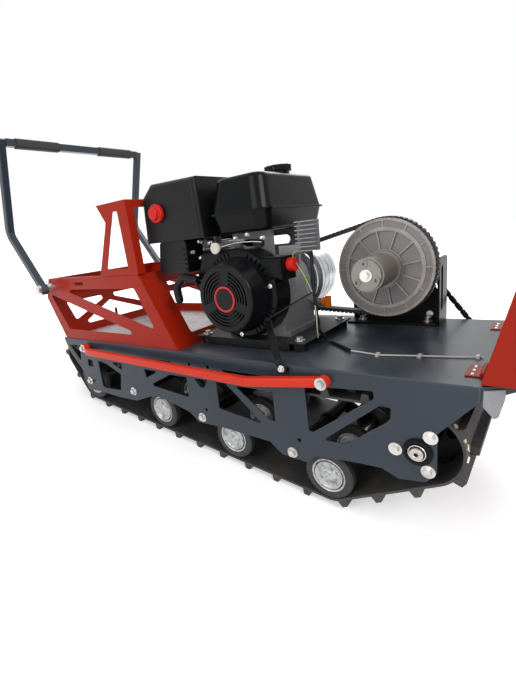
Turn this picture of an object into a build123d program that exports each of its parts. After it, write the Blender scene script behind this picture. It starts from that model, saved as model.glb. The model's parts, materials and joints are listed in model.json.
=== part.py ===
"""Tracked snow tug: a walk-behind tractor that runs on one wide rubber track.

Chassis frame: X forward along the deck, Y to the left, Z up, millimetres.
The deck's top is Z = 0 and its rear edge is X = 0. The track's ground run slopes down to the front
in that frame, so every finished piece is turned and lifted at the end to stand on flat ground.
"""
import os
from math import asin, atan2, cos, degrees, hypot, pi, radians, sin, tan

from build123d import *

# Deck and side plates
DECK_LENGTH = 1492
CHASSIS_WIDTH = 525
DECK_THICKNESS = 3
PLATE_THICKNESS = 4
FOLD_RADIUS = 3.5
PLATE_CORNER = 9
WINDOW_CORNER = 4.5
REAR_LIP = 8
NOSE_LENGTH = 73
NOSE_TIP_WIDTH = 440
NOSE_DEPTH = 28
NOSE_TIP_DEPTH = 9
NOSE_TAB = ((6, -6), (44, -6), (44, -24), (34, -60), (26, -64), (6, -38))
NOSE_TAB_SHEET = 4
TOW_LENGTH = 76
TOW_WIDTH = 54
TOW_SHEET = 6
TOW_BORE = 17
TOW_BORE_X = 52
TOW_LATCH = ((-22, 16, -6), (-22, 16, 12), (-44, 24, 26), (-50, 30, 60))
TOW_LATCH_BAR = 11

# Running gear
GROUND_SLOPE = 6.37
TRACK_WIDTH = 500
TRACK_BELT = 6
LUG_HEIGHT = 17.5
LUG_FOOT = 24
LUG_TIP = 15
LUG_ROWS = 64
LUG_BANDS = (
    # first row, then the bands across the track in every other row
    (0, ((-250, -100), (-60, 60), (100, 250))),
    (1, ((-210, -30), (30, 210))),
)
WHEEL_CLEARANCE = 0.3
ROLLER_DIAMETER = 133
ROLLER_WIDTH = 24
ROLLER_HUB = 45.5
ROLLER_SPACING = 315
FIRST_ROLLER = (531, -228)
ROLLER_TRACK = (-238, -92, 92, 238)
IDLER_DIAMETER = 160
IDLER_X = 128
IDLER_HUB = 58
WHEEL_DISH = 7
TYRE_SHOULDER = 4
DRIVE_CENTRE = (1382, -162)
DRIVE_BELT_RADIUS = 85
SPROCKET_TEETH = 8
SPROCKET_PLACES = (-150, -60, 60, 150)
SPROCKET_WIDTH = 18
AXLE_DIAMETER = 24
SLACK_BULGE = (22, -80, 42)
SLACK_DIP = (165, 8, 100)
ARM_OFFSETS = ((-124, 55), (-103, 54), (-93, 51))
ARM_TUBE = 34
ARM_THICKNESS = 8
ARM_PLACES = (-205, -60, 60, 205)

# Fastenings
BOLT_HEAD = 19
BOLT_HEAD_HEIGHT = 8
WASHER = 30
WASHER_THICKNESS = 3
BEARING_RADIUS = 31
BEARING_TAIL = 22
BEARING_FLANGE = 3
BEARING_RIM = 4
BEARING_BOLT_CIRCLE = 47
BEARING_BOLT_ANGLES = (185, 57, -63)

# Side bars
BAR_HEIGHT = 25
BAR_WIDTH = 20
BAR_STANDOFF = 46.5
BAR_POINTS = ((175, -27), (222, -30), (962, -46), (1163, -30))
BAR_BEND = 30
BAR_CORNER = 5
BAR_PAD = 10

# Load basket
BASKET_WIDTH = 516
BASKET_SHEET = 3
BASKET_BOTTOM_REAR = 13
BASKET_BOTTOM_FRONT = 672
BASKET_KNEE = (-64, 162)
BASKET_TOP_REAR = -18
BASKET_TOP_FRONT = 547
BASKET_TOP = 238
BASKET_FLANGE = 15
WINDOW_FILLET = 8
STRAP_SLOT = (60, 12)
STRAP_SLOT_PLACE = (195, 214)

FLOOR_SHEET = 2

# Portal over the basket's front end
PORTAL_TOP = 457
PORTAL_FRONT = 558
PORTAL_WIDTH = 525
PORTAL_SHEET = 3
PORTAL_FOOT = 18
PORTAL_FLANGE = 28
PORTAL_BEAM = 22

# Handle
HANDLE_TUBE = 25
HANDLE_GAP = 26.5
HANDLE_PIVOT = (5, 206)
HANDLE_BEND = (-150, 421)
HANDLE_TOP = (-26, 741)
HANDLE_BOLT = 12
HANDLE_BEND_RADIUS = 45
GRIP_WALL = 4
GRIP_SLEEVE_NEAR = 90
GRIP_SLEEVE_FAR = 250

# Hood
HOOD_WIDTH = 520
HOOD_SHEET = 2.5
HINGE_SETBACK = 3
HINGE_HEIGHT = 5
HOOD_OPENING = 104.6
HOOD_SKIRT = 9
HOOD_LEAN = 14.6
HOOD_FRONT_TOP = 318
HOOD_SHOULDER = (1205, 492)
HOOD_CREST = (905, 522)
HOOD_REAR = (590, 496)
HOOD_BACK_FOOT = (712, 9)
HOOD_BACK_DROP = 240
HOOD_BACK_LIMIT = 700
STRUT_NOTCH = (1012, 1068)
STRUT_NOTCH_TOP = 44
HINGE_PLACES = (-180, 180)
HINGE_WIDTH = 66
HINGE_LEAF = 26
KNUCKLE = 4.7
KNUCKLE_PIN = 2.5
KNUCKLE_GAP = 0.6
VENT_CENTRE = (800, 400)
VENT_PITCH = 20
VENT_COUNT = 5
VENT_SIZE = (120, 9)
LAMP_HEIGHT = 190
LAMP_RADIUS = 56
LAMP_DEPTH = 34
LAMP_RIM = 5
HOOD_SLOT_GAP = 9

# Engine
CRANK = (886, 159)
ENGINE_BASE = 26
RECOIL_FACE = -251
RECOIL_FLANGE = 104
RECOIL_RADIUS = 91
RECOIL_STEP = 10
RECOIL_ROUND = 7
BLOWER_RADIUS = 126
BLOWER_FACE = -190
CASE_NEAR = -120
CASE_FAR = 50
CYLINDER_TILT = 25
CASE_RADIUS = 94
AIR_BOX_BOTTOM = 323
EXHAUST_PORT = (672, 262)
MUFFLER_NEAR = 62
FIN_COUNT = 10
FIN_PITCH = 13
FIN_THICKNESS = 3.5
FIN_WIDTH = 110
MOUNT_X = (704, 1045)
MOUNT_NEAR = -148
MOUNT_FAR = 104
MOUNT_RADIUS = 21
FRAME_SHEET = 5
FRAME_END = 27
FRAME_MARGIN = 24
FRAME_GAP = 2
FOOT_REAR = 112
FOOT_FRONT = 112
FOOT_PROUD = 10
FOOT_THICKNESS = 13
COVER_RADIUS = 86
COVER_HEIGHT = 13
COVER_BOLTS = 7
COVER_BOLT_HEIGHT = 5
BARREL_SIZE = 96
FIN_START = 100
FIN_DEPTH = 130
HEAD_COVER = 28
STAND_PLACES = (-112, 22)
STAND_WIDTH = 136
STAND_SHEET = 12
OIL_FILLER = (982, 98)
OIL_TUBE = 22
OIL_NECK_X = 1004
OIL_NECK = 50
KNOB_CENTRE = (833, 291)
KNOB_RADIUS = 15
KNOB_FACE = -204
LINKAGE = 4.5
SHROUD_OFFSET = (88, 66)
SHROUD_SIZE = (120, 60)
BLOWER_ROUND = 12
LOUVRE_RADIUS = 112
LOUVRE_LENGTH = 16
LOUVRE_WIDTH = 5
LOUVRE_STEP = 9
LOUVRE_DEPTH = 8
LOUVRE_SPANS = ((20, 74), (-64, -10), (100, 136))
BADGE_RADIUS = 35
BADGE_GROOVE = 4
BADGE_DEPTH = 3
BADGE_RIM = 5
BADGE_PROUD = 1
GRILLE_RADII = (73, 64, 55, 46)
GRILLE_SPOKES = (81, 203, 337)
GRILLE_SPOKE = 24
GRILLE_SLOT = 5
GRILLE_DEPTH = 7
GRIP_POINTS = ((766, 208), (706, 218), (668, 188), (672, 150))
GRIP_PLANE = -216
GRIP_BEND = 22
GRIP_WIDTH = 26
GRIP_HEIGHT = 24
ROPE = 7
ROPE_REACH = 30
TANK_CENTRE = (912, -38)
TANK_BOTTOM = 323
TANK_SEAM = 376
TANK_TOP = 466
TANK_LOWER = (168, 296)
TANK_MIDDLE = (188, 322)
TANK_UPPER = (156, 284)
TANK_CORNER = 36
TANK_ROUND = 14
TANK_FLANGE = 5
TANK_FLANGE_REACH = 7
TANK_CAP = (945, -23)
TANK_CAP_RADIUS = 38
TANK_CAP_TOP = 490
TANK_CAP_HEIGHT = 15
TANK_CAP_LOBES = 12
AIR_BOX_NEAR = -216
AIR_BOX_FAR = -30
AIR_BOX_ROUND = 30
AIR_BOX_PROFILE = ((561, 323), (575, 455), (622, 489), (798, 484), (803, 323))
DUCT_NEAR = -202
DUCT_FAR = -122
DUCT_PROFILE = ((610, 323), (588, 232), (716, 226), (722, 323))
DUCT_RIBS = 5
DUCT_RIB_X = (655, 712)
DUCT_RIB_FOOT = 238
DUCT_RIB_PITCH = 14
CHOKE_PLACE = (641, 406)
CHOKE_RADIUS = 26
SWITCH_PLACE = (-150, 232)
SWITCH_RADIUS = 17
SWITCH_DEPTH = 20
RECTIFIER_X = (1061, 1118)
RECTIFIER_Y = (-137, -131)
RECTIFIER_Z = (262, 335)
RECTIFIER_BRACKET = (-131, -127)
RECTIFIER_FINS = 8
RECTIFIER_FIN = 3
RECTIFIER_DEPTH = 18
MUFFLER_X = (600, 765)
MUFFLER_FAR = 180
MUFFLER_Z = (222, 332)
MUFFLER_PITCH = 18
MUFFLER_COLUMNS = 7
MUFFLER_ROWS = 4

# Belt drive
BELT_PLANE = 98
DRIVER_RADIUS = 104
DRIVER_BELL = 95
DRIVER_BELL_FAR = 236
DRIVEN_CENTRE = (1201, 183)
DRIVEN_RADIUS = 136
BELT_DRIVER_RADIUS = 84
BELT_DRIVEN_RADIUS = 128
BELT_WIDTH = 30
BELT_THICKNESS = 12
BELT_COGS = 96
COG_DEPTH = 5
COG_WIDTH = 6
BELT_SEAT = 0.3
SHEAVE = 7
SHEAVE_GAP = 16
BELL_GROOVES = 3
BELL_PITCH = 28
RIM_WIDTH = 7
RIM_POCKET = 3
PLATFORM_RADII = (103, 113)
FACE_POCKET = 6
RIB_COUNT = 12
RIB_TURN = 10
RIB_WIDTH = 4
HUB_RING_RADIUS = 54
HUB_RADIUS = 44
HUB_COLLAR = 12
HUB_CAP = 8
HUB_FACE = -48
HUB_BOLT_CIRCLE = 30
HUB_BOLT_ANGLES = (96, 216, 336)
HUB_LUG = 9
SHAFT_DIAMETER = 25
BRACKET_NEAR = 157
BRACKET_PANEL = 214
BRACKET_SHEET = 6
BRACKET_REAR = 155
BRACKET_FRONT = 128
BRACKET_CROWN = 58
BRACKET_SHOULDER = 60
BRACKET_BEARING = 40
BRACKET_HUB = 20
BRACKET_BOLT_INSET = 40
WEB_FAR = 250
WEB_TOP = 196
WEB_ROUND = 16
WEB_SLOT = (130, 22)

# Chain drive outside the left plate
CHAIN_PLANE = 277
CHAIN_HEIGHT = 12
CHAIN_WAIST = 4.5
CHAIN_LINKS = 88
CHAIN_INNER = 4.6
CHAIN_PLATE = 1.6
CHAIN_ROLLER = 5
SPROCKET_SHEET = 6
UPPER_SPROCKET = 33.2
UPPER_TEETH = 13
LOWER_SPROCKET = 98.6
LOWER_TEETH = 38

# Wiring
LOOM = 9
LEAD = 4
LEAD_HEIGHT = 2.6
LOOM_ROUTE = (
    (1088, -127, RECTIFIER_Z[0]),
    (1088, -127, 150),
    (1084, -110, 50),
    (1084, -62, LOOM / 2),
    (1120, -84, LOOM / 2),
    (1178, -127, LOOM / 2),
)
LEAD_ROUTE = (
    (1172, -124, LEAD_HEIGHT),
    (1261, -139, LEAD_HEIGHT),
    (1349, -120, LEAD_HEIGHT),
    (1431, -104, LEAD_HEIGHT),
    (1474, -92, LEAD_HEIGHT),
)
LEAD_CLIPS = ((1255, -138), (1349, -121), (1465, -94))

# Brace
STRUT_POINTS = ((981, -196, 91), (1052, -271, 10), (1067, -271, -12))
STRUT_WIDTH = 18
STRUT_BAR = 8
STRUT_FOOT = 10

HALF_WIDTH = CHASSIS_WIDTH / 2
HOOD_HINGE = (DECK_LENGTH - HINGE_SETBACK, HINGE_HEIGHT)
HANDLE_HALF_WIDTH = BASKET_WIDTH / 2 + HANDLE_GAP + HANDLE_TUBE / 2
BAR_REACH = HALF_WIDTH + BAR_STANDOFF
PLATE_INSIDE = HALF_WIDTH - PLATE_THICKNESS
shroud_end = CRANK[0] + SHROUD_OFFSET[0] + SHROUD_SIZE[0] / 2
shroud_top = CRANK[1] + SHROUD_OFFSET[1] + SHROUD_SIZE[1] / 2
slope = radians(GROUND_SLOPE)
pieces = []
ON_BASE = (Align.CENTER, Align.CENTER, Align.MIN)



def finish(piece, label):
    """Names a finished piece and keeps it for the final placing on the ground."""
    piece.part.label = label
    pieces.append(piece.part)


def side_plane(y):
    """Drawing plane at the given Y: X to the right, Z up, its normal points to -Y."""
    return Plane.XZ.offset(-y)


def rod(centre, radius, near, far, mode=Mode.ADD):
    """Round bar along Y between two Y values, centred on an (x, z) point."""
    with Locations((centre[0], (near + far) / 2, centre[1])):
        Cylinder(radius, far - near, rotation=(90, 0, 0), mode=mode)


def block(x, y, z, mode=Mode.ADD):
    """Box between two values on each axis."""
    with Locations(((x[0] + x[1]) / 2, (y[0] + y[1]) / 2, (z[0] + z[1]) / 2)):
        Box(x[1] - x[0], y[1] - y[0], z[1] - z[0], mode=mode)


def tangent_runs(guides, offset=0):
    """Straight runs between round guides (x, z, radius, turn): heading, start and end of each."""
    runs = []
    for i, (x1, z1, radius1, turn1) in enumerate(guides):
        x2, z2, radius2, turn2 = guides[(i + 1) % len(guides)]
        reach1 = turn1 * radius1 + offset
        reach2 = turn2 * radius2 + offset
        heading = atan2(z2 - z1, x2 - x1) + asin((reach1 - reach2) / hypot(x2 - x1, z2 - z1))
        start = (x1 + reach1 * sin(heading), z1 - reach1 * cos(heading))
        end = (x2 + reach2 * sin(heading), z2 - reach2 * cos(heading))
        runs.append((heading, start, end))
    return runs


def guide_turn(guides, runs, i):
    """How far the loop turns on the guide after run i, in radians, and that guide."""
    guide = guides[(i + 1) % len(guides)]
    change = runs[(i + 1) % len(runs)][0] - runs[i][0]
    return guide[3] * ((change * guide[3]) % (2 * pi)), guide


def loop_line(guides, offset=0):
    """Closed line of straight runs and arcs round the guides."""
    runs = tangent_runs(guides, offset)
    for i, (heading, start, end) in enumerate(runs):
        swing, (x, z, radius, turn) = guide_turn(guides, runs, i)
        reach = turn * radius + offset
        middle = heading + swing / 2
        Line(start, end)
        ThreePointArc(
            end,
            (x + reach * sin(middle), z - reach * cos(middle)),
            runs[(i + 1) % len(runs)][1],
        )


def loop_stations(guides, count):
    """Evenly spaced (x, z, heading) stations along the loop."""
    runs = tangent_runs(guides)
    spans = []
    for i, (heading, start, end) in enumerate(runs):
        swing, guide = guide_turn(guides, runs, i)
        spans.append((hypot(end[0] - start[0], end[1] - start[1]), heading, start, None))
        spans.append((abs(swing) * guide[2], heading, guide, swing))
    total = sum(span[0] for span in spans)
    stations = []
    for k in range(count):
        along = total * k / count
        for length, heading, anchor, swing in spans:
            if along <= length:
                break
            along -= length
        if swing is None:
            stations.append((anchor[0] + along * cos(heading), anchor[1] + along * sin(heading), heading))
        else:
            x, z, radius, turn = anchor
            angle = heading + swing * along / length
            stations.append((x + turn * radius * sin(angle), z - turn * radius * cos(angle), angle))
    return stations, total


def ring_band(guides, inner, outer, near, far):
    """Band round the guides between two offsets, from one Y value to another."""
    with BuildSketch(side_plane(far)) as section:
        with BuildLine():
            loop_line(guides, outer)
        make_face()
        with BuildLine():
            loop_line(guides, inner)
        make_face(mode=Mode.SUBTRACT)
    extrude(section.sketch, amount=far - near)


# Wheel places
roller_centres = [
    (
        FIRST_ROLLER[0] + i * ROLLER_SPACING * cos(slope),
        FIRST_ROLLER[1] - i * ROLLER_SPACING * sin(slope),
    )
    for i in range(3)
]
roller_radius = ROLLER_DIAMETER / 2
idler_radius = IDLER_DIAMETER / 2
idler_z = (
    FIRST_ROLLER[1]
    + (FIRST_ROLLER[0] - IDLER_X) * tan(slope)
    + (idler_radius - roller_radius) / cos(slope)
)
idler_centre = (IDLER_X, idler_z)
arm_pivots = [
    (centre[0] + offset_x, centre[1] + offset_z)
    for centre, (offset_x, offset_z) in zip(roller_centres, ARM_OFFSETS)
]
bearing_bolts = [
    (
        DRIVE_CENTRE[0] + BEARING_BOLT_CIRCLE * cos(radians(angle)),
        DRIVE_CENTRE[1] + BEARING_BOLT_CIRCLE * sin(radians(angle)),
    )
    for angle in BEARING_BOLT_ANGLES
]
track_guides = (
    (*roller_centres[2], roller_radius + WHEEL_CLEARANCE, 1),
    (*DRIVE_CENTRE, DRIVE_BELT_RADIUS, 1),
    (*SLACK_DIP, -1),
    (*SLACK_BULGE, 1),
    (*idler_centre, idler_radius + WHEEL_CLEARANCE, 1),
)

# Deck
with BuildPart() as deck:
    block((0, DECK_LENGTH), (-PLATE_INSIDE, PLATE_INSIDE), (-DECK_THICKNESS, 0))
    block((0, DECK_THICKNESS), (-PLATE_INSIDE, PLATE_INSIDE), (-REAR_LIP, -DECK_THICKNESS))
finish(deck, "deck")

# Side plates: every outline point hangs from the axle, pivot or end that it follows
anchors = {
    "rear": (0, 0),
    "idler": idler_centre,
    "arm_1": arm_pivots[0],
    "arm_2": arm_pivots[1],
    "arm_3": arm_pivots[2],
    "drive": DRIVE_CENTRE,
    "front": (DECK_LENGTH, 0),
}
PLATE_OUTLINE = (
    # anchor, along, up
    ("rear", 0, 0),
    ("rear", 0, -6),
    ("rear", 18, -56),
    ("idler", -38, 34),
    ("idler", -30, -43),
    ("idler", 48, -38),
    ("arm_1", -100, -40),
    ("arm_1", 4, -37),
    ("arm_1", 85, -8),
    ("arm_1", 124, -1),
    ("arm_2", -147, 27),
    ("arm_2", -57, 6),
    ("arm_2", -22, -21),
    ("arm_2", 76, -19),
    ("arm_3", -72, 14),
    ("arm_3", -34, -16),
    ("arm_3", 46, -19),
    ("arm_3", 66, 5),
    ("arm_3", 161, 18),
    ("drive", -79, -63),
    ("drive", -42, -79),
    ("drive", 16, -70),
    ("drive", 38, -43),
    ("drive", 38, 50),
    ("front", -31, -66),
    ("front", 0, -32),
    ("front", 0, 0),
)
PLATE_WINDOWS = (
    # anchor, then corners along and up from it
    ("rear", (26, -26), (112, -26), (86, -93)),
    ("idler", (12, 90), (46, 91), (42, 60), (6, 60)),
    ("arm_1", (-196, 93), (-159, 95), (-61, 56), (-84, -10), (-183, -16), (-201, -11)),
    ("arm_1", (-119, 100), (-41, 98), (-50, 73)),
    ("arm_1", (81, 93), (159, 95), (85, 61)),
    ("arm_2", (-219, 81), (-123, 125), (-44, 127), (-49, 58), (-217, 72)),
    ("arm_2", (-14, 127), (47, 129), (25, 101), (9, 101)),
    ("arm_2", (77, 128), (115, 128), (237, 23), (75, 43)),
    ("arm_3", (-176, 165), (-45, 165), (-46, 79), (-66, 79)),
    ("arm_3", (52, 197), (225, 209), (226, 191), (206, 176), (66, 73), (53, 75)),
    ("drive", (-74, 96), (-55, 91), (-56, 65), (-69, 50), (-161, -21), (-182, -26), (-227, -28)),
)
PLATE_SLITS = (
    # anchor, along, up, length
    ("arm_1", -94, 131, 88),
    ("arm_2", -178, 167, 148),
    ("arm_3", -133, 203, 164),
)
SLIT_HEIGHT = 8
PLATE_HOLES = (
    ("arm_2", -24, 171),
    ("arm_2", 53, 170),
    ("arm_2", 20, 29),
    ("arm_3", 23, 41),
)
PLATE_HOLE = 12
IDLER_SLOT = 78
IDLER_BOLT = 14
BEARING_GAP = 8


def anchored(anchor, along, up):
    """Point at a distance from a named place on the side plate."""
    return (anchors[anchor][0] + along, anchors[anchor][1] + up)


with BuildPart() as side_plate_right:
    with BuildSketch(side_plane(-PLATE_INSIDE)) as outline:
        Polygon(*[anchored(*row) for row in PLATE_OUTLINE], align=None)
        fillet(outline.vertices().filter_by(lambda v: v.Z < -12), PLATE_CORNER)
    extrude(amount=PLATE_THICKNESS)
    for anchor, *corners in PLATE_WINDOWS:
        with BuildSketch(side_plane(-PLATE_INSIDE)) as hole:
            Polygon(*[anchored(anchor, *corner) for corner in corners], align=None)
            fillet(hole.vertices(), WINDOW_CORNER)
        extrude(amount=PLATE_THICKNESS, mode=Mode.SUBTRACT)
    with BuildSketch(side_plane(-PLATE_INSIDE)):
        for anchor, along, up, length in PLATE_SLITS:
            with Locations(anchored(anchor, along, up)):
                SlotOverall(length, SLIT_HEIGHT)
        with Locations((IDLER_X + 12, idler_z)):
            SlotOverall(IDLER_SLOT, IDLER_BOLT)
        with Locations(*[anchored(*row) for row in PLATE_HOLES]):
            Circle(PLATE_HOLE / 2)
        with Locations(DRIVE_CENTRE):
            Circle(AXLE_DIAMETER / 2 + BEARING_GAP)
    extrude(amount=PLATE_THICKNESS, mode=Mode.SUBTRACT)
    top_edges = side_plate_right.edges().filter_by(Axis.X).group_by(Axis.Z)[-1]
    fillet(top_edges.sort_by(Axis.Y)[0], FOLD_RADIUS)
finish(side_plate_right, "side_plate_right")

with BuildPart() as side_plate_left:
    mirror(side_plate_right.part, about=Plane.XZ)
finish(side_plate_left, "side_plate_left")

# Nose
with BuildPart() as nose:
    with BuildSketch(Plane.XY.offset(-DECK_THICKNESS)):
        with BuildLine():
            Polyline(
                (DECK_LENGTH, -HALF_WIDTH),
                (DECK_LENGTH + NOSE_LENGTH, -NOSE_TIP_WIDTH / 2),
                (DECK_LENGTH + NOSE_LENGTH, NOSE_TIP_WIDTH / 2),
                (DECK_LENGTH, HALF_WIDTH),
                close=True,
            )
        make_face()
    extrude(amount=DECK_THICKNESS)
    with BuildSketch(Plane.XY.offset(-NOSE_DEPTH)):
        with BuildLine():
            Polyline(
                (DECK_LENGTH, -HALF_WIDTH),
                (DECK_LENGTH + NOSE_LENGTH, -NOSE_TIP_WIDTH / 2),
                (DECK_LENGTH + NOSE_LENGTH, -NOSE_TIP_WIDTH / 2 + PLATE_THICKNESS),
                (DECK_LENGTH, -HALF_WIDTH + PLATE_THICKNESS),
                close=True,
            )
        make_face()
    side_web = extrude(amount=NOSE_DEPTH - DECK_THICKNESS)
    mirror(side_web, about=Plane.XZ)
    with BuildSketch(side_plane(HALF_WIDTH)):
        with BuildLine():
            Polyline(
                (DECK_LENGTH, -NOSE_DEPTH),
                (DECK_LENGTH + NOSE_LENGTH + 1, -NOSE_TIP_DEPTH),
                (DECK_LENGTH + NOSE_LENGTH + 1, -NOSE_DEPTH),
                close=True,
            )
        make_face()
    extrude(amount=CHASSIS_WIDTH, mode=Mode.SUBTRACT)
finish(nose, "nose")

# Pointed guard tabs on the nose's slanted sides
nose_taper = HALF_WIDTH - NOSE_TIP_WIDTH / 2
with BuildPart() as nose_tabs:
    with BuildSketch(
        Plane(
            origin=(DECK_LENGTH, -HALF_WIDTH, 0),
            x_dir=(NOSE_LENGTH, nose_taper, 0),
            z_dir=(nose_taper, -NOSE_LENGTH, 0),
        )
    ):
        Polygon(*NOSE_TAB, align=None)
    extrude(amount=NOSE_TAB_SHEET)
    mirror(about=Plane.XZ)
finish(nose_tabs, "nose_tabs")

# Tow hitch: a tongue with its bore and the bent handle of the latch
with BuildPart() as tow_hitch:
    block((-TOW_LENGTH, 0), (-TOW_WIDTH / 2, TOW_WIDTH / 2), (-REAR_LIP, -REAR_LIP + TOW_SHEET))
    fillet(tow_hitch.edges().filter_by(Axis.Z).group_by(Axis.X)[0], TOW_WIDTH / 3)
    with Locations((-TOW_BORE_X, 0, -REAR_LIP)):
        Cylinder(TOW_BORE / 2, 4 * TOW_SHEET, mode=Mode.SUBTRACT)
    with BuildLine() as latch:
        FilletPolyline(*TOW_LATCH, radius=12)
    with BuildSketch(Plane(origin=latch.line @ 0, x_dir=(1, 0, 0), z_dir=latch.line % 0)):
        Circle(TOW_LATCH_BAR / 2)
    sweep()
finish(tow_hitch, "tow_hitch")

# Rubber track: a belt with staggered rows of moulded lugs
lug_stations, track_length = loop_stations(track_guides, LUG_ROWS)


def lug(station, tip_width):
    """Lug outline, standing on the belt at a station."""
    x, z, heading = station
    foot = TRACK_BELT - 1
    tip = TRACK_BELT + LUG_HEIGHT
    half_foot = tip_width / 2 + (LUG_FOOT - LUG_TIP) / 2
    corners = ((-half_foot, foot), (half_foot, foot), (tip_width / 2, tip), (-tip_width / 2, tip))
    Polygon(
        *[
            (x + a * cos(heading) + b * sin(heading), z + a * sin(heading) - b * cos(heading))
            for a, b in corners
        ],
        align=None,
    )


with BuildPart() as track:
    ring_band(track_guides, 0, TRACK_BELT, -TRACK_WIDTH / 2, TRACK_WIDTH / 2)
    for first, bands in LUG_BANDS:
        for near, far in bands:
            with BuildSketch(side_plane(far)):
                for station in lug_stations[first::2]:
                    lug(station, LUG_TIP)
            extrude(amount=far - near)
finish(track, "track")
print(f"track length {track_length:.0f} mm, lug pitch {track_length / LUG_ROWS:.1f} mm")

# Wheels turned from a half section: radius along X, width along Y
def turned_wheel(centre, y, radius, hub, width):
    """Rubber-tyred wheel with a dished hub, centred on a Y value."""
    half = width / 2
    with BuildSketch(Plane(origin=(centre[0], y, centre[1]), x_dir=(1, 0, 0), z_dir=(0, 0, 1))) as section:
        with BuildLine():
            Polyline(
                (AXLE_DIAMETER / 2 - 1, -half + 1),
                (AXLE_DIAMETER / 2 + 3, -half + 1),
                (AXLE_DIAMETER / 2 + 7, -half + WHEEL_DISH),
                (hub - 7, -half + WHEEL_DISH),
                (hub - 3, -half + 1.5),
                (hub, -half + 1.5),
                (hub + 2, -half),
                (radius - TYRE_SHOULDER, -half),
                (radius, -half + TYRE_SHOULDER),
                (radius, half - TYRE_SHOULDER),
                (radius - TYRE_SHOULDER, half),
                (hub + 2, half),
                (hub, half - 1.5),
                (hub - 3, half - 1.5),
                (hub - 7, half - WHEEL_DISH),
                (AXLE_DIAMETER / 2 + 7, half - WHEEL_DISH),
                (AXLE_DIAMETER / 2 + 3, half - 1),
                (AXLE_DIAMETER / 2 - 1, half - 1),
                close=True,
            )
        make_face()
    revolve(section.sketch, axis=Axis((centre[0], y, centre[1]), (0, 1, 0)))


# Road rollers on three axles
with BuildPart() as road_rollers:
    for centre in roller_centres:
        rod(centre, AXLE_DIAMETER / 2, ROLLER_TRACK[0], ROLLER_TRACK[-1])
        for y in ROLLER_TRACK:
            turned_wheel(centre, y, roller_radius, ROLLER_HUB, ROLLER_WIDTH)
finish(road_rollers, "road_rollers")

# Swing arms from the cross tubes to the roller axles
with BuildPart() as swing_arms:
    for pivot, centre in zip(arm_pivots, roller_centres):
        rod(pivot, ARM_TUBE / 2, -PLATE_INSIDE, PLATE_INSIDE)
        for y in ARM_PLACES:
            with BuildSketch(side_plane(y + ARM_THICKNESS / 2)):
                with Locations(pivot):
                    Circle(ARM_TUBE / 2 + 6)
                with Locations(centre):
                    Circle(AXLE_DIAMETER / 2 + 10)
                make_hull()
                with Locations(centre):
                    Circle(AXLE_DIAMETER / 2, mode=Mode.SUBTRACT)
            extrude(amount=ARM_THICKNESS)
finish(swing_arms, "swing_arms")

# Rear idler on its sliding axle
with BuildPart() as idler:
    rod(idler_centre, AXLE_DIAMETER / 2, -PLATE_INSIDE, PLATE_INSIDE)
    rod(idler_centre, IDLER_BOLT / 2 - WHEEL_CLEARANCE, -HALF_WIDTH, HALF_WIDTH)
    for y in ROLLER_TRACK:
        turned_wheel(idler_centre, y, idler_radius, IDLER_HUB, ROLLER_WIDTH)
finish(idler, "idler")

# Drive axle with its toothed discs
with BuildPart() as drive_axle:
    rod(DRIVE_CENTRE, AXLE_DIAMETER / 2, -HALF_WIDTH - 14, CHAIN_PLANE + 14)
    rod(DRIVE_CENTRE, 26, -PLATE_INSIDE + 30, PLATE_INSIDE - 30)
    for y in SPROCKET_PLACES:
        with BuildSketch(side_plane(y + SPROCKET_WIDTH / 2)):
            with Locations(DRIVE_CENTRE):
                Circle(DRIVE_BELT_RADIUS - WHEEL_CLEARANCE)
                with PolarLocations(DRIVE_BELT_RADIUS + 4, SPROCKET_TEETH):
                    Circle(17, mode=Mode.SUBTRACT)
                with PolarLocations(DRIVE_BELT_RADIUS * 0.55, SPROCKET_TEETH // 2):
                    Circle(12, mode=Mode.SUBTRACT)
        extrude(amount=SPROCKET_WIDTH)
finish(drive_axle, "drive_axle")

# Bearing housings of the drive axle, pressed through the side plates
with BuildPart() as bearings:
    with BuildSketch(side_plane(-HALF_WIDTH)):
        with Locations(DRIVE_CENTRE):
            Circle(BEARING_RADIUS)
            with Locations((BEARING_TAIL, 0)):
                Rectangle(2, 2 * BEARING_TAIL)
        make_hull()
        with Locations(DRIVE_CENTRE):
            Circle(AXLE_DIAMETER / 2, mode=Mode.SUBTRACT)
    extrude(amount=BEARING_FLANGE)
    with BuildSketch(side_plane(-HALF_WIDTH - BEARING_FLANGE)):
        with Locations(DRIVE_CENTRE):
            Circle(BEARING_RADIUS - 2)
            Circle(BEARING_RADIUS - 9, mode=Mode.SUBTRACT)
    extrude(amount=BEARING_RIM)
    mirror(about=Plane.XZ)
finish(bearings, "bearings")

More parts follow.
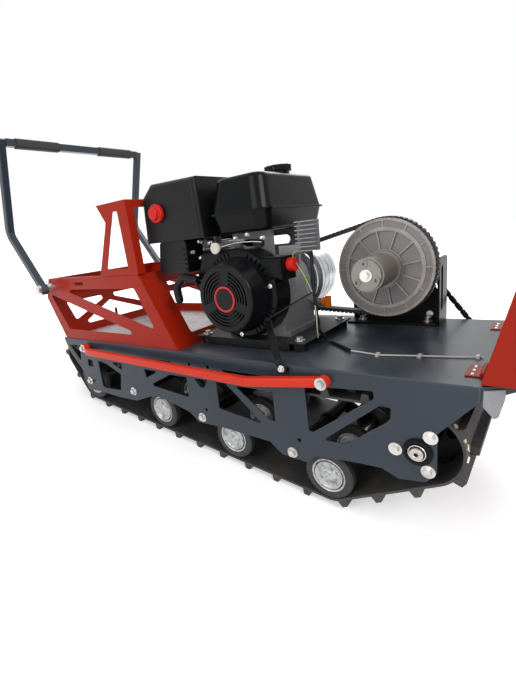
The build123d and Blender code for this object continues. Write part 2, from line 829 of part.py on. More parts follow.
# Side bars: a flattened tube with a bolted pad at each end
bar_ends = (
    (BAR_POINTS[0][0] - BAR_PAD, BAR_POINTS[0][1]),
    (BAR_POINTS[3][0] + BAR_PAD, BAR_POINTS[3][1]),
)
with BuildPart() as side_bars:
    bar_near = -BAR_REACH
    with BuildLine() as bar_path:
        FilletPolyline(
            (BAR_POINTS[0][0], -HALF_WIDTH - BAR_WIDTH / 2, BAR_POINTS[0][1]),
            (BAR_POINTS[1][0], bar_near + BAR_WIDTH / 2, BAR_POINTS[1][1]),
            (BAR_POINTS[2][0], bar_near + BAR_WIDTH / 2, BAR_POINTS[2][1]),
            (BAR_POINTS[3][0], -HALF_WIDTH - BAR_WIDTH / 2, BAR_POINTS[3][1]),
            radius=BAR_BEND,
        )
    with BuildSketch(Plane(origin=bar_path.line @ 0, x_dir=(0, 0, 1), z_dir=bar_path.line % 0)):
        RectangleRounded(BAR_HEIGHT, BAR_WIDTH, BAR_CORNER)
    sweep()
    split(bisect_by=side_plane(-HALF_WIDTH), keep=Keep.TOP)
    for end in bar_ends:
        rod(end, WASHER / 2 + 1, -HALF_WIDTH - BAR_WIDTH, -HALF_WIDTH)
        rod(end, WASHER / 2 + 1, bar_near, -HALF_WIDTH - BAR_WIDTH, Mode.SUBTRACT)
    mirror(about=Plane.XZ)
finish(side_bars, "side_bars")

# Hexagon bolts with washers on the side plates and bars
bolt_places = [(centre, 0) for centre in (*arm_pivots, idler_centre, *bearing_bolts)]
bolt_places += [(end, BAR_WIDTH) for end in bar_ends]
with BuildPart() as plate_bolts:
    for centre, stand_off in bolt_places:
        seat = -HALF_WIDTH - stand_off
        rod(centre, WASHER / 2, seat - WASHER_THICKNESS, seat)
        with BuildSketch(side_plane(seat - WASHER_THICKNESS)):
            with Locations(centre):
                RegularPolygon(BOLT_HEAD / 2, 6)
        extrude(amount=BOLT_HEAD_HEIGHT)
    mirror(about=Plane.XZ)
finish(plate_bolts, "plate_bolts")

# Basket walls
basket_half = BASKET_WIDTH / 2
BASKET_OUTLINE = (
    (BASKET_BOTTOM_REAR, 0),
    (BASKET_BOTTOM_FRONT, 0),
    (BASKET_TOP_FRONT, BASKET_TOP),
    (BASKET_TOP_REAR, BASKET_TOP),
    BASKET_KNEE,
)
BASKET_SIDE_WINDOWS = (
    ((64, 194), (514, 194), (584, 60)),
    ((-33, 178), (52, 37), (507, 37)),
)
with BuildPart() as basket_sides:
    with BuildSketch(side_plane(-basket_half + BASKET_SHEET)):
        Polygon(*BASKET_OUTLINE, align=None)
    extrude(amount=BASKET_SHEET)
    for window in BASKET_SIDE_WINDOWS:
        with BuildSketch(side_plane(-basket_half + BASKET_SHEET)) as hole:
            Polygon(*window, align=None)
            fillet(hole.vertices(), WINDOW_FILLET)
        extrude(amount=BASKET_SHEET, mode=Mode.SUBTRACT)
    with BuildSketch(side_plane(-basket_half + BASKET_SHEET)):
        with Locations(STRAP_SLOT_PLACE):
            SlotOverall(*STRAP_SLOT)
    extrude(amount=BASKET_SHEET, mode=Mode.SUBTRACT)
    block(
        (BASKET_TOP_REAR + 2 * BASKET_SHEET, BASKET_TOP_FRONT - 2 * BASKET_SHEET),
        (-basket_half, -basket_half + BASKET_FLANGE),
        (BASKET_TOP - BASKET_SHEET, BASKET_TOP),
    )
    mirror(about=Plane.XZ)
finish(basket_sides, "basket_sides")

basket_inside = basket_half - BASKET_SHEET
BASKET_REAR_WINDOWS = (
    ((-194, 145), (-188, 60), (-30, 128), (-30, 145)),
    ((194, 145), (188, 60), (30, 128), (30, 145)),
    ((-170, 34), (170, 34), (0, 116)),
)
BASKET_FRONT_WINDOW = ((-174, 40), (174, 40), (174, 192), (-174, 192))
FRONT_SLOT = (92, 14)
FRONT_SLOT_HEIGHT = 220


def wall_plane(foot, head):
    """Plane of a wall that rises from one (x, z) point to another: X is the wall's width."""
    return Plane(
        origin=(foot[0], 0, foot[1]),
        x_dir=(0, 1, 0),
        z_dir=(head[1] - foot[1], 0, foot[0] - head[0]),
    )


def bent_sheet(points, side):
    """Folded sheet across the basket, drawn by its outer (x, z) line."""
    with BuildSketch(side_plane(basket_inside)) as section:
        with BuildLine():
            run = Polyline(*points)
            offset(run, amount=BASKET_SHEET, side=side)
        make_face()
    extrude(section.sketch, amount=2 * basket_inside)
    split(bisect_by=Plane.XY, keep=Keep.TOP)


with BuildPart() as basket_rear:
    bent_sheet(
        ((BASKET_BOTTOM_REAR, 0), BASKET_KNEE, (BASKET_TOP_REAR, BASKET_TOP)),
        Side.RIGHT,
    )
    for window in BASKET_REAR_WINDOWS:
        with BuildSketch(wall_plane((BASKET_BOTTOM_REAR, 0), BASKET_KNEE)) as hole:
            Polygon(*window, align=None)
            fillet(hole.vertices(), WINDOW_FILLET)
        extrude(amount=2 * BASKET_SHEET, both=True, mode=Mode.SUBTRACT)
finish(basket_rear, "basket_rear")

with BuildPart() as basket_front:
    bent_sheet(((BASKET_BOTTOM_FRONT, 0), (BASKET_TOP_FRONT, BASKET_TOP)), Side.LEFT)
    with BuildSketch(wall_plane((BASKET_BOTTOM_FRONT, 0), (BASKET_TOP_FRONT, BASKET_TOP))) as hole:
        Polygon(*BASKET_FRONT_WINDOW, align=None)
        fillet(hole.vertices(), WINDOW_FILLET)
        with Locations((0, FRONT_SLOT_HEIGHT)):
            with GridLocations(120, 0, 3, 1):
                SlotOverall(*FRONT_SLOT)
    extrude(amount=2 * BASKET_SHEET, both=True, mode=Mode.SUBTRACT)
finish(basket_front, "basket_front")

with BuildPart() as basket_floor:
    block(
        (BASKET_BOTTOM_REAR + 2 * BASKET_SHEET, BASKET_BOTTOM_FRONT - 2 * BASKET_SHEET),
        (-basket_inside, basket_inside),
        (0, FLOOR_SHEET),
    )
finish(basket_floor, "basket_floor")

# Portal
portal_half = PORTAL_WIDTH / 2
PORTAL_SIDE = (
    (352, BASKET_TOP),
    (PORTAL_FRONT, BASKET_TOP),
    (PORTAL_FRONT, PORTAL_TOP),
    (411, PORTAL_TOP),
    (444, 402),
)
PORTAL_OPENING = ((398, 258), (513, 258), (513, 430), (488, 430))
with BuildPart() as portal:
    with BuildSketch(side_plane(-portal_half + PORTAL_SHEET)) as side:
        Polygon(*PORTAL_SIDE, align=None)
    cheek = extrude(amount=PORTAL_SHEET)
    with BuildSketch(side_plane(-portal_half + PORTAL_SHEET)) as hole:
        Polygon(*PORTAL_OPENING, align=None)
        fillet(hole.vertices(), 6)
    extrude(amount=PORTAL_SHEET, mode=Mode.SUBTRACT)
    block(
        (352, PORTAL_FRONT),
        (-portal_half, -portal_half + PORTAL_FOOT),
        (BASKET_TOP, BASKET_TOP + PORTAL_SHEET),
    )
    block(
        (PORTAL_FRONT - PORTAL_SHEET, PORTAL_FRONT),
        (-portal_half, -portal_half + PORTAL_FLANGE),
        (BASKET_TOP, PORTAL_TOP),
    )
    mirror(about=Plane.XZ)
    block((411, PORTAL_FRONT), (-portal_half, portal_half), (PORTAL_TOP - PORTAL_SHEET, PORTAL_TOP))
    block(
        (PORTAL_FRONT - PORTAL_SHEET, PORTAL_FRONT),
        (-portal_half, portal_half),
        (PORTAL_TOP - PORTAL_BEAM, PORTAL_TOP),
    )
finish(portal, "portal")

# Handle: two bent legs and the top bar
handle_inner = HANDLE_HALF_WIDTH - HANDLE_TUBE / 2
with BuildPart() as handle:
    for y in (-HANDLE_HALF_WIDTH, HANDLE_HALF_WIDTH):
        with BuildLine() as leg:
            FilletPolyline(
                (HANDLE_PIVOT[0] + 12, y, HANDLE_PIVOT[1] - 16),
                (HANDLE_BEND[0], y, HANDLE_BEND[1]),
                (HANDLE_TOP[0], y, HANDLE_TOP[1]),
                radius=HANDLE_BEND_RADIUS,
            )
        with BuildSketch(Plane(origin=leg.line @ 0, x_dir=(0, 1, 0), z_dir=leg.line % 0)):
            RectangleRounded(HANDLE_TUBE, HANDLE_TUBE, 3)
        sweep()
        rod(HANDLE_PIVOT, HANDLE_BOLT / 2 + 0.1, y - HANDLE_TUBE, y + HANDLE_TUBE, Mode.SUBTRACT)
    block(
        (HANDLE_TOP[0] - HANDLE_TUBE / 2, HANDLE_TOP[0] + HANDLE_TUBE / 2),
        (-handle_inner, handle_inner),
        (HANDLE_TOP[1] - HANDLE_TUBE, HANDLE_TOP[1]),
    )
finish(handle, "handle")

# Rubber sleeves on the handle's top bar
with BuildPart() as handle_grips:
    sleeve_plane = Plane.XZ.offset(-GRIP_SLEEVE_FAR)
    with BuildSketch(sleeve_plane):
        with Locations((HANDLE_TOP[0], HANDLE_TOP[1] - HANDLE_TUBE / 2)):
            RectangleRounded(HANDLE_TUBE + 2 * GRIP_WALL, HANDLE_TUBE + 2 * GRIP_WALL, 9)
            Rectangle(HANDLE_TUBE, HANDLE_TUBE, mode=Mode.SUBTRACT)
    extrude(amount=GRIP_SLEEVE_FAR - GRIP_SLEEVE_NEAR)
    mirror(about=Plane.XZ)
finish(handle_grips, "handle_grips")

with BuildPart() as handle_pivots:
    for side in (-1, 1):
        ends = sorted((side * (handle_inner - 0.3), side * basket_half))
        rod(HANDLE_PIVOT, HANDLE_BOLT + 4, *ends)
        ends = sorted((side * (HANDLE_HALF_WIDTH + HANDLE_TUBE / 2 + 12), side * basket_half))
        rod(HANDLE_PIVOT, HANDLE_BOLT / 2, *ends)
        ends = sorted((
            side * (HANDLE_HALF_WIDTH + HANDLE_TUBE / 2 + 0.3),
            side * (HANDLE_HALF_WIDTH + HANDLE_TUBE / 2 + 12),
        ))
        rod(HANDLE_PIVOT, 16, *ends)
finish(handle_pivots, "handle_pivots")

# Hood, modelled closed and turned open about its hinge
hood_half = HOOD_WIDTH / 2
lean = radians(HOOD_LEAN)
hood_front_foot = (HOOD_HINGE[0] - (HOOD_SKIRT - HOOD_HINGE[1]) * tan(lean), HOOD_SKIRT)
hood_front_head = (HOOD_HINGE[0] - (HOOD_FRONT_TOP - HOOD_HINGE[1]) * tan(lean), HOOD_FRONT_TOP)
HOOD_PROFILE = (
    hood_front_foot,
    hood_front_head,
    HOOD_SHOULDER,
    HOOD_CREST,
    HOOD_REAR,
    (HOOD_REAR[0], HOOD_BACK_DROP),
    HOOD_BACK_FOOT,
)
opened = Rotation(0, HOOD_OPENING, 0)


def swing_open(shape):
    """Turns a shape drawn with the hood closed about the hinge line, to the open hood."""
    to_hinge = Location((HOOD_HINGE[0], 0, HOOD_HINGE[1]))
    return to_hinge * opened * to_hinge.inverse() * shape


with BuildPart() as hood_closed:
    with BuildSketch(side_plane(hood_half)) as profile:
        Polygon(*HOOD_PROFILE, align=None)
        corners = profile.vertices().filter_by(lambda v: v.Z > HOOD_FRONT_TOP - 10 and v.X > HOOD_REAR[0] + 5)
        fillet(corners, 30)
    extrude(amount=HOOD_WIDTH)
    open_faces = [
        face
        for face in hood_closed.faces()
        if face.center().Z < HOOD_SKIRT + 1 or face.center().X < HOOD_BACK_LIMIT
    ]
    offset(amount=-HOOD_SHEET, openings=open_faces)
    with BuildSketch(side_plane(hood_half + 5)):
        with BuildLine():
            shaft_arc = CenterArc(
                HOOD_HINGE,
                hypot(HOOD_HINGE[0] - DRIVEN_CENTRE[0], HOOD_HINGE[1] - DRIVEN_CENTRE[1]),
                degrees(atan2(DRIVEN_CENTRE[1] - HOOD_HINGE[1], DRIVEN_CENTRE[0] - HOOD_HINGE[0])),
                40,
            )
        SlotArc(shaft_arc, SHAFT_DIAMETER + 2 * HOOD_SLOT_GAP)
    extrude(amount=20, mode=Mode.SUBTRACT)
    with BuildSketch(side_plane(hood_half + 5)):
        with Locations(VENT_CENTRE):
            with GridLocations(0, VENT_PITCH, 1, VENT_COUNT):
                SlotOverall(*VENT_SIZE)
    extrude(amount=HOOD_WIDTH + 10, mode=Mode.SUBTRACT)
    block(STRUT_NOTCH, (-hood_half - 1, -hood_half + HOOD_SHEET + 1), (0, STRUT_NOTCH_TOP), Mode.SUBTRACT)
    for y in HINGE_PLACES:
        barrel_side = HINGE_WIDTH / 2 + 1
        rod(HOOD_HINGE, KNUCKLE + KNUCKLE_GAP, y - barrel_side, y + barrel_side, Mode.SUBTRACT)
        with BuildSketch(side_plane(y + HINGE_WIDTH / 6 - 0.3)):
            with Locations(HOOD_HINGE):
                Circle(KNUCKLE)
            Polygon(
                HOOD_HINGE,
                hood_front_foot,
                (hood_front_foot[0] - HOOD_SHEET, HOOD_SKIRT),
                (HOOD_HINGE[0] - HOOD_SHEET, HOOD_HINGE[1]),
                align=None,
            )
            with Locations(HOOD_HINGE):
                Circle(KNUCKLE_PIN + 0.1, mode=Mode.SUBTRACT)
        extrude(amount=HINGE_WIDTH / 3 - 0.6)
with BuildPart() as hood:
    add(swing_open(hood_closed.part))
finish(hood, "hood")

# Lamp on the hood's front panel
lamp_plane = Plane(
    origin=(HOOD_HINGE[0] - (LAMP_HEIGHT - HOOD_HINGE[1]) * tan(lean), 0, LAMP_HEIGHT),
    x_dir=(0, 1, 0),
    z_dir=(cos(lean), 0, sin(lean)),
)
with BuildPart() as lamp_closed:
    with BuildSketch(lamp_plane):
        Circle(LAMP_RADIUS - 14)
    extrude(amount=LAMP_DEPTH / 2)
    with BuildSketch(lamp_plane.offset(LAMP_DEPTH / 2)):
        Circle(LAMP_RADIUS)
    extrude(amount=LAMP_DEPTH / 2)
    with BuildSketch(lamp_plane.offset(LAMP_DEPTH - LAMP_RIM)):
        Circle(LAMP_RADIUS - LAMP_RIM)
    extrude(amount=LAMP_RIM, mode=Mode.SUBTRACT)
with BuildPart() as headlight:
    add(swing_open(lamp_closed.part))
finish(headlight, "headlight")

with BuildPart() as hood_hinges:
    for y in HINGE_PLACES:
        block(
            (HOOD_HINGE[0] - KNUCKLE - HINGE_LEAF, HOOD_HINGE[0] - KNUCKLE - 1),
            (y - HINGE_WIDTH / 2, y + HINGE_WIDTH / 2),
            (0, 3),
        )
        for side in (-1, 1):
            near, far = sorted((y + side * HINGE_WIDTH / 6, y + side * HINGE_WIDTH / 2))
            rod(HOOD_HINGE, KNUCKLE, near, far)
            block((HOOD_HINGE[0] - KNUCKLE - 1, HOOD_HINGE[0]), (near, far), (0, 3))
        rod(HOOD_HINGE, KNUCKLE_PIN, y - HINGE_WIDTH / 2, y + HINGE_WIDTH / 2)
finish(hood_hinges, "hood_hinges")

# Engine sub-frame: a folded channel on rubber mounts
frame_right = MOUNT_NEAR - FRAME_MARGIN
frame_left = MOUNT_FAR + FRAME_MARGIN
with BuildPart() as engine_mounts:
    for x in MOUNT_X:
        for y in (MOUNT_NEAR, MOUNT_FAR):
            with Locations((x, y, 0)):
                Cylinder(MOUNT_RADIUS, ENGINE_BASE - FRAME_SHEET, align=ON_BASE)
            with Locations((x, y, ENGINE_BASE)):
                Cylinder(WASHER / 2, WASHER_THICKNESS, align=ON_BASE)
            with BuildSketch(Plane.XY.offset(ENGINE_BASE + WASHER_THICKNESS)):
                with Locations((x, y)):
                    RegularPolygon(BOLT_HEAD / 2, 6)
            extrude(amount=BOLT_HEAD_HEIGHT)
    block(
        (MOUNT_X[0] - FRAME_END, MOUNT_X[-1] + FRAME_END),
        (frame_right, frame_left),
        (ENGINE_BASE - FRAME_SHEET, ENGINE_BASE),
    )
    for near in (frame_right, frame_left - FRAME_SHEET):
        block(
            (MOUNT_X[0] + MOUNT_RADIUS, MOUNT_X[-1] - MOUNT_RADIUS),
            (near, near + FRAME_SHEET),
            (FRAME_GAP, ENGINE_BASE),
        )
finish(engine_mounts, "engine_mounts")

# Crankcase with the inclined finned cylinder, its head cover and the tank's stand
tilt = radians(CYLINDER_TILT)
case_middle = (CASE_NEAR + CASE_FAR) / 2
with BuildPart() as engine_block:
    with BuildSketch(side_plane(CASE_FAR)):
        with Locations(CRANK):
            Circle(CASE_RADIUS)
        with Locations((CRANK[0], ENGINE_BASE + 20)):
            Rectangle(196, 40)
        make_hull()
    extrude(amount=CASE_FAR - CASE_NEAR)
    block(
        (CRANK[0] - FOOT_REAR, CRANK[0] + FOOT_FRONT),
        (CASE_NEAR, CASE_FAR + FOOT_PROUD),
        (ENGINE_BASE, ENGINE_BASE + FOOT_THICKNESS),
    )
    rod(CRANK, COVER_RADIUS, CASE_FAR, CASE_FAR + COVER_HEIGHT)
    with BuildSketch(side_plane(CASE_FAR + COVER_HEIGHT + COVER_BOLT_HEIGHT)):
        with Locations(CRANK):
            with PolarLocations(COVER_RADIUS - 9, COVER_BOLTS):
                RegularPolygon(7, 6)
    extrude(amount=COVER_BOLT_HEIGHT)
    rod(CRANK, SHAFT_DIAMETER / 2, CASE_FAR, BELT_PLANE - BELT_WIDTH)
    barrel_axis = (-cos(tilt), 0, sin(tilt))
    barrel = Plane(origin=(CRANK[0], case_middle, CRANK[1]), x_dir=(0, 1, 0), z_dir=barrel_axis)
    with BuildSketch(barrel.offset(80)):
        Rectangle(BARREL_SIZE, BARREL_SIZE)
    extrude(amount=FIN_START + FIN_COUNT * FIN_PITCH - 80)
    for i in range(FIN_COUNT):
        with BuildSketch(barrel.offset(FIN_START + i * FIN_PITCH)):
            RectangleRounded(FIN_WIDTH, FIN_DEPTH, 12)
        extrude(amount=FIN_THICKNESS)
    with BuildSketch(barrel.offset(FIN_START + FIN_COUNT * FIN_PITCH)):
        RectangleRounded(104, 84, 16)
    extrude(amount=HEAD_COVER)
    rod(EXHAUST_PORT, 17, 0, MUFFLER_NEAR)
    for y in STAND_PLACES:
        with BuildSketch(side_plane(y + STAND_SHEET)) as stand:
            with Locations((CRANK[0] + 8, (CRANK[1] + TANK_BOTTOM) / 2)):
                Rectangle(STAND_WIDTH, TANK_BOTTOM - CRANK[1])
            with Locations((CRANK[0] + 8, TANK_BOTTOM - 32)):
                SlotOverall(STAND_WIDTH - 50, 26, mode=Mode.SUBTRACT)
        extrude(amount=STAND_SHEET)
    rod(OIL_FILLER, OIL_TUBE / 2, CASE_FAR - OIL_TUBE - 8, CASE_FAR - 8)
    with Locations((OIL_NECK_X, CASE_FAR - OIL_TUBE / 2 - 8, OIL_FILLER[1])):
        Cylinder(OIL_TUBE / 2, OIL_NECK, rotation=(0, 90, 0))
finish(engine_block, "engine_block")

# Carburettor beside the cylinder, with its linkage and pale knob
with BuildPart() as carburettor:
    carburettor_far = case_middle - FIN_WIDTH / 2
    block((700, 765), (carburettor_far - 29, carburettor_far), (246, AIR_BOX_BOTTOM))
    fillet(carburettor.edges().filter_by(Axis.Z), 8)
    rod((KNOB_CENTRE[0] - 76, KNOB_CENTRE[1]), LINKAGE, carburettor_far - 77, carburettor_far - 20)
    with Locations((KNOB_CENTRE[0] - 38, carburettor_far - 71, KNOB_CENTRE[1])):
        Cylinder(LINKAGE - 1, 76, rotation=(0, 90, 0))
    rod(KNOB_CENTRE, LINKAGE, KNOB_FACE, carburettor_far - 65)
    rod(KNOB_CENTRE, KNOB_RADIUS, KNOB_FACE, KNOB_FACE + 7)
    rod((746, 304), 14, carburettor_far - 56, carburettor_far - 20)
    rod((741, 262), 11, carburettor_far - 48, carburettor_far - 20)
    block((735, 812), (carburettor_far - 50, carburettor_far - 46), (294, 302))
finish(carburettor, "carburettor")

# Blower housing with its intake slots
with BuildPart() as blower_housing:
    with BuildSketch(side_plane(CASE_NEAR)):
        with Locations(CRANK):
            Circle(BLOWER_RADIUS)
        with Locations((CRANK[0] - 116, CRANK[1] + 63)):
            Rectangle(60, 110, rotation=-CYLINDER_TILT)
        make_hull()
        with Locations((CRANK[0] + SHROUD_OFFSET[0], CRANK[1] + SHROUD_OFFSET[1])):
            Rectangle(*SHROUD_SIZE)
    extrude(amount=CASE_NEAR - BLOWER_FACE)
    fillet(blower_housing.faces().sort_by(Axis.Y)[0].edges(), BLOWER_ROUND)
    with BuildSketch(side_plane(BLOWER_FACE)):
        with Locations(CRANK):
            for first, last in LOUVRE_SPANS:
                with PolarLocations(LOUVRE_RADIUS, 1 + (last - first) // LOUVRE_STEP, first, last - first):
                    SlotOverall(LOUVRE_LENGTH, LOUVRE_WIDTH)
    extrude(amount=-LOUVRE_DEPTH, mode=Mode.SUBTRACT)
finish(blower_housing, "blower_housing")

# Recoil starter cover with three sectors of ring slots
with BuildPart() as recoil_cover:
    with BuildSketch(side_plane(BLOWER_FACE)):
        with Locations(CRANK):
            Circle(RECOIL_FLANGE)
    extrude(amount=RECOIL_STEP)
    recoil_depth = BLOWER_FACE - RECOIL_STEP - RECOIL_FACE
    with BuildSketch(side_plane(BLOWER_FACE - RECOIL_STEP)):
        with Locations(CRANK):
            Circle(RECOIL_FLANGE)
    extrude(amount=recoil_depth, taper=degrees(atan2(RECOIL_FLANGE - RECOIL_RADIUS, recoil_depth)))
    fillet(recoil_cover.faces().sort_by(Axis.Y)[0].edges(), RECOIL_ROUND)
    with BuildSketch(side_plane(RECOIL_FACE)):
        with Locations(CRANK):
            for radius in GRILLE_RADII:
                Circle(radius + GRILLE_SLOT / 2)
                Circle(radius - GRILLE_SLOT / 2, mode=Mode.SUBTRACT)
            for heading in GRILLE_SPOKES:
                with PolarLocations(RECOIL_RADIUS / 2, 1, heading):
                    Rectangle(RECOIL_RADIUS, GRILLE_SPOKE, mode=Mode.SUBTRACT)
    extrude(amount=-GRILLE_DEPTH, mode=Mode.SUBTRACT)
    with BuildSketch(side_plane(RECOIL_FACE)):
        with Locations(CRANK):
            Circle(BADGE_RADIUS + BADGE_GROOVE)
            Circle(BADGE_RADIUS, mode=Mode.SUBTRACT)
    extrude(amount=-BADGE_DEPTH, mode=Mode.SUBTRACT)
    with BuildSketch(side_plane(RECOIL_FACE)):
        with Locations(CRANK):
            Circle(BADGE_RADIUS)
            Circle(BADGE_RADIUS - BADGE_RIM, mode=Mode.SUBTRACT)
    extrude(amount=BADGE_PROUD)
finish(recoil_cover, "recoil_cover")

# Starter rope and its grip, parked against the cover
with BuildPart() as starter_grip:
    with BuildLine() as rope:
        FilletPolyline(*[(x, GRIP_PLANE, z) for x, z in GRIP_POINTS], radius=GRIP_BEND)
    with BuildSketch(Plane(origin=rope.line @ 0, x_dir=(0, 1, 0), z_dir=rope.line % 0)):
        Ellipse(GRIP_WIDTH / 2, GRIP_HEIGHT / 2)
    sweep()
    with Locations((GRIP_POINTS[-1][0], GRIP_PLANE, GRIP_POINTS[-1][1])):
        Sphere(GRIP_HEIGHT / 2)
    with BuildSketch(Plane(origin=rope.line @ 0, x_dir=(0, 1, 0), z_dir=rope.line % 0)) as rope_end:
        Circle(ROPE / 2)
    extrude(rope_end.sketch, amount=-ROPE_REACH)
    add(recoil_cover.part, mode=Mode.SUBTRACT)
finish(starter_grip, "starter_grip")

# Fuel tank
with BuildPart() as fuel_tank:
    for heights, sizes in (
        ((TANK_BOTTOM, TANK_SEAM), (TANK_LOWER, TANK_MIDDLE)),
        ((TANK_SEAM, TANK_TOP), (TANK_MIDDLE, TANK_UPPER)),
    ):
        for height, size in zip(heights, sizes):
            with BuildSketch(Plane.XY.offset(height)):
                with Locations(TANK_CENTRE):
                    RectangleRounded(*size, TANK_CORNER)
        loft()
    fillet(fuel_tank.edges().group_by(Axis.Z)[-1], TANK_ROUND)
    fillet(fuel_tank.edges().group_by(Axis.Z)[0], TANK_ROUND)
    with BuildSketch(Plane.XY.offset(TANK_SEAM - TANK_FLANGE / 2)):
        with Locations(TANK_CENTRE):
            RectangleRounded(
                TANK_MIDDLE[0] + 2 * TANK_FLANGE_REACH,
                TANK_MIDDLE[1] + 2 * TANK_FLANGE_REACH,
                TANK_CORNER + TANK_FLANGE_REACH,
            )
    extrude(amount=TANK_FLANGE)
    with Locations((TANK_CAP[0], TANK_CAP[1], TANK_TOP)):
        Cylinder(TANK_CAP_RADIUS - 6, TANK_CAP_TOP - TANK_TOP, align=ON_BASE)
    with BuildSketch(Plane.XY.offset(TANK_CAP_TOP - TANK_CAP_HEIGHT)):
        with Locations(TANK_CAP):
            Circle(TANK_CAP_RADIUS)
            with PolarLocations(TANK_CAP_RADIUS + 2, TANK_CAP_LOBES):
                Circle(6, mode=Mode.SUBTRACT)
    extrude(amount=TANK_CAP_HEIGHT)
finish(fuel_tank, "fuel_tank")

# Air box with the intake duct below it
with BuildPart() as air_box:
    with BuildSketch(side_plane(AIR_BOX_FAR)) as profile:
        Polygon(*AIR_BOX_PROFILE, align=None)
        fillet(profile.vertices().filter_by(lambda v: v.Z > AIR_BOX_BOTTOM + 60), AIR_BOX_ROUND)
    extrude(amount=AIR_BOX_FAR - AIR_BOX_NEAR)
    near_edges = air_box.faces().sort_by(Axis.Y)[0].edges()
    fillet(near_edges.filter_by(lambda e: e.center().Z > AIR_BOX_BOTTOM + 30), 16)
    with BuildSketch(side_plane(DUCT_FAR)) as duct:
        Polygon(*DUCT_PROFILE, align=None)
        fillet(duct.vertices().group_by(Axis.Z)[0], 10)
    extrude(amount=DUCT_FAR - DUCT_NEAR)
    for i in range(DUCT_RIBS):
        block(
            (DUCT_RIB_X[0], DUCT_RIB_X[1]),
            (DUCT_NEAR - 3, DUCT_NEAR),
            (DUCT_RIB_FOOT + i * DUCT_RIB_PITCH, DUCT_RIB_FOOT + i * DUCT_RIB_PITCH + 5),
        )
finish(air_box, "air_box")

# Red knobs and the oil dipstick
with BuildPart() as engine_knobs:
    rod(CHOKE_PLACE, CHOKE_RADIUS, AIR_BOX_NEAR - 12, AIR_BOX_NEAR)
    rod(CHOKE_PLACE, CHOKE_RADIUS - 8, AIR_BOX_NEAR - 22, AIR_BOX_NEAR - 12)
    fillet(engine_knobs.edges().filter_by(GeomType.CIRCLE), 2)
    with Locations((shroud_end + SWITCH_DEPTH / 2, SWITCH_PLACE[0], SWITCH_PLACE[1])):
        Cylinder(SWITCH_RADIUS, SWITCH_DEPTH, rotation=(0, 90, 0))
    with Locations((OIL_NECK_X + OIL_NECK / 2 + 5, CASE_FAR - OIL_TUBE / 2 - 8, OIL_FILLER[1])):
        Cylinder(OIL_TUBE / 2 + 3, 10, rotation=(0, 90, 0))
        with Locations((12, 0, 0)):
            Box(16, 8, 34)
finish(engine_knobs, "engine_knobs")

# Finned rectifier on a bracket above the blower housing
with BuildPart() as rectifier:
    block((shroud_end - 40, RECTIFIER_X[0] + 6), RECTIFIER_BRACKET, (shroud_top, shroud_top + 24))
    block(RECTIFIER_X, RECTIFIER_Y, RECTIFIER_Z)
    for i in range(RECTIFIER_FINS):
        foot = RECTIFIER_Z[0] + i * (RECTIFIER_Z[1] - RECTIFIER_Z[0] - RECTIFIER_FIN) / (RECTIFIER_FINS - 1)
        block(RECTIFIER_X, (RECTIFIER_Y[0] - RECTIFIER_DEPTH, RECTIFIER_Y[0]), (foot, foot + RECTIFIER_FIN))
finish(rectifier, "rectifier")

# Muffler behind the cylinder head, with its pierced guard
with BuildPart() as muffler:
    block(MUFFLER_X, (MUFFLER_NEAR, MUFFLER_FAR), MUFFLER_Z)
    fillet(muffler.edges().filter_by(Axis.X), 24)
    with BuildSketch(side_plane(MUFFLER_FAR)):
        with Locations(((MUFFLER_X[0] + MUFFLER_X[1]) / 2, (MUFFLER_Z[0] + MUFFLER_Z[1]) / 2)):
            with GridLocations(MUFFLER_PITCH, MUFFLER_PITCH, MUFFLER_COLUMNS, MUFFLER_ROWS):
                SlotOverall(MUFFLER_PITCH - 5, 6)
    extrude(amount=4, mode=Mode.SUBTRACT)
    with Locations((MUFFLER_X[0] - 14, (MUFFLER_NEAR + MUFFLER_FAR) / 2, MUFFLER_Z[0] + 40)):
        Cylinder(15, 30, rotation=(0, 90, 0))
        Cylinder(11, 34, rotation=(0, 90, 0), mode=Mode.SUBTRACT)
    block(
        (MUFFLER_X[0] + 4, MUFFLER_X[1] - 4),
        (MUFFLER_NEAR, MUFFLER_FAR - 6),
        (MUFFLER_Z[0] + 20, MUFFLER_Z[1] - 20),
    )
finish(muffler, "muffler")

# Driver clutch on the crankshaft: two sheaves and the bell with its weights
with BuildPart() as driver_pulley:
    rod(CRANK, DRIVER_RADIUS, BELT_PLANE - SHEAVE_GAP - SHEAVE, BELT_PLANE - SHEAVE_GAP)
    rod(CRANK, BELT_DRIVER_RADIUS - BELT_SEAT, BELT_PLANE - SHEAVE_GAP, BELT_PLANE + SHEAVE_GAP)
    rod(CRANK, DRIVER_RADIUS, BELT_PLANE + SHEAVE_GAP, BELT_PLANE + SHEAVE_GAP + SHEAVE)
    rod(CRANK, DRIVER_BELL, BELT_PLANE + SHEAVE_GAP + SHEAVE, DRIVER_BELL_FAR)
    fillet(driver_pulley.edges().group_by(Axis.Y)[-1], 8)
    for i in range(BELL_GROOVES):
        seam = BELT_PLANE + SHEAVE_GAP + SHEAVE + (i + 1) * BELL_PITCH
        with BuildSketch(side_plane(seam + 1.5)):
            with Locations(CRANK):
                Circle(DRIVER_BELL + 1)
                Circle(DRIVER_BELL - 1.5, mode=Mode.SUBTRACT)
        extrude(amount=3, mode=Mode.SUBTRACT)
    rod(CRANK, 14, DRIVER_BELL_FAR, DRIVER_BELL_FAR + 9)
finish(driver_pulley, "driver_pulley")

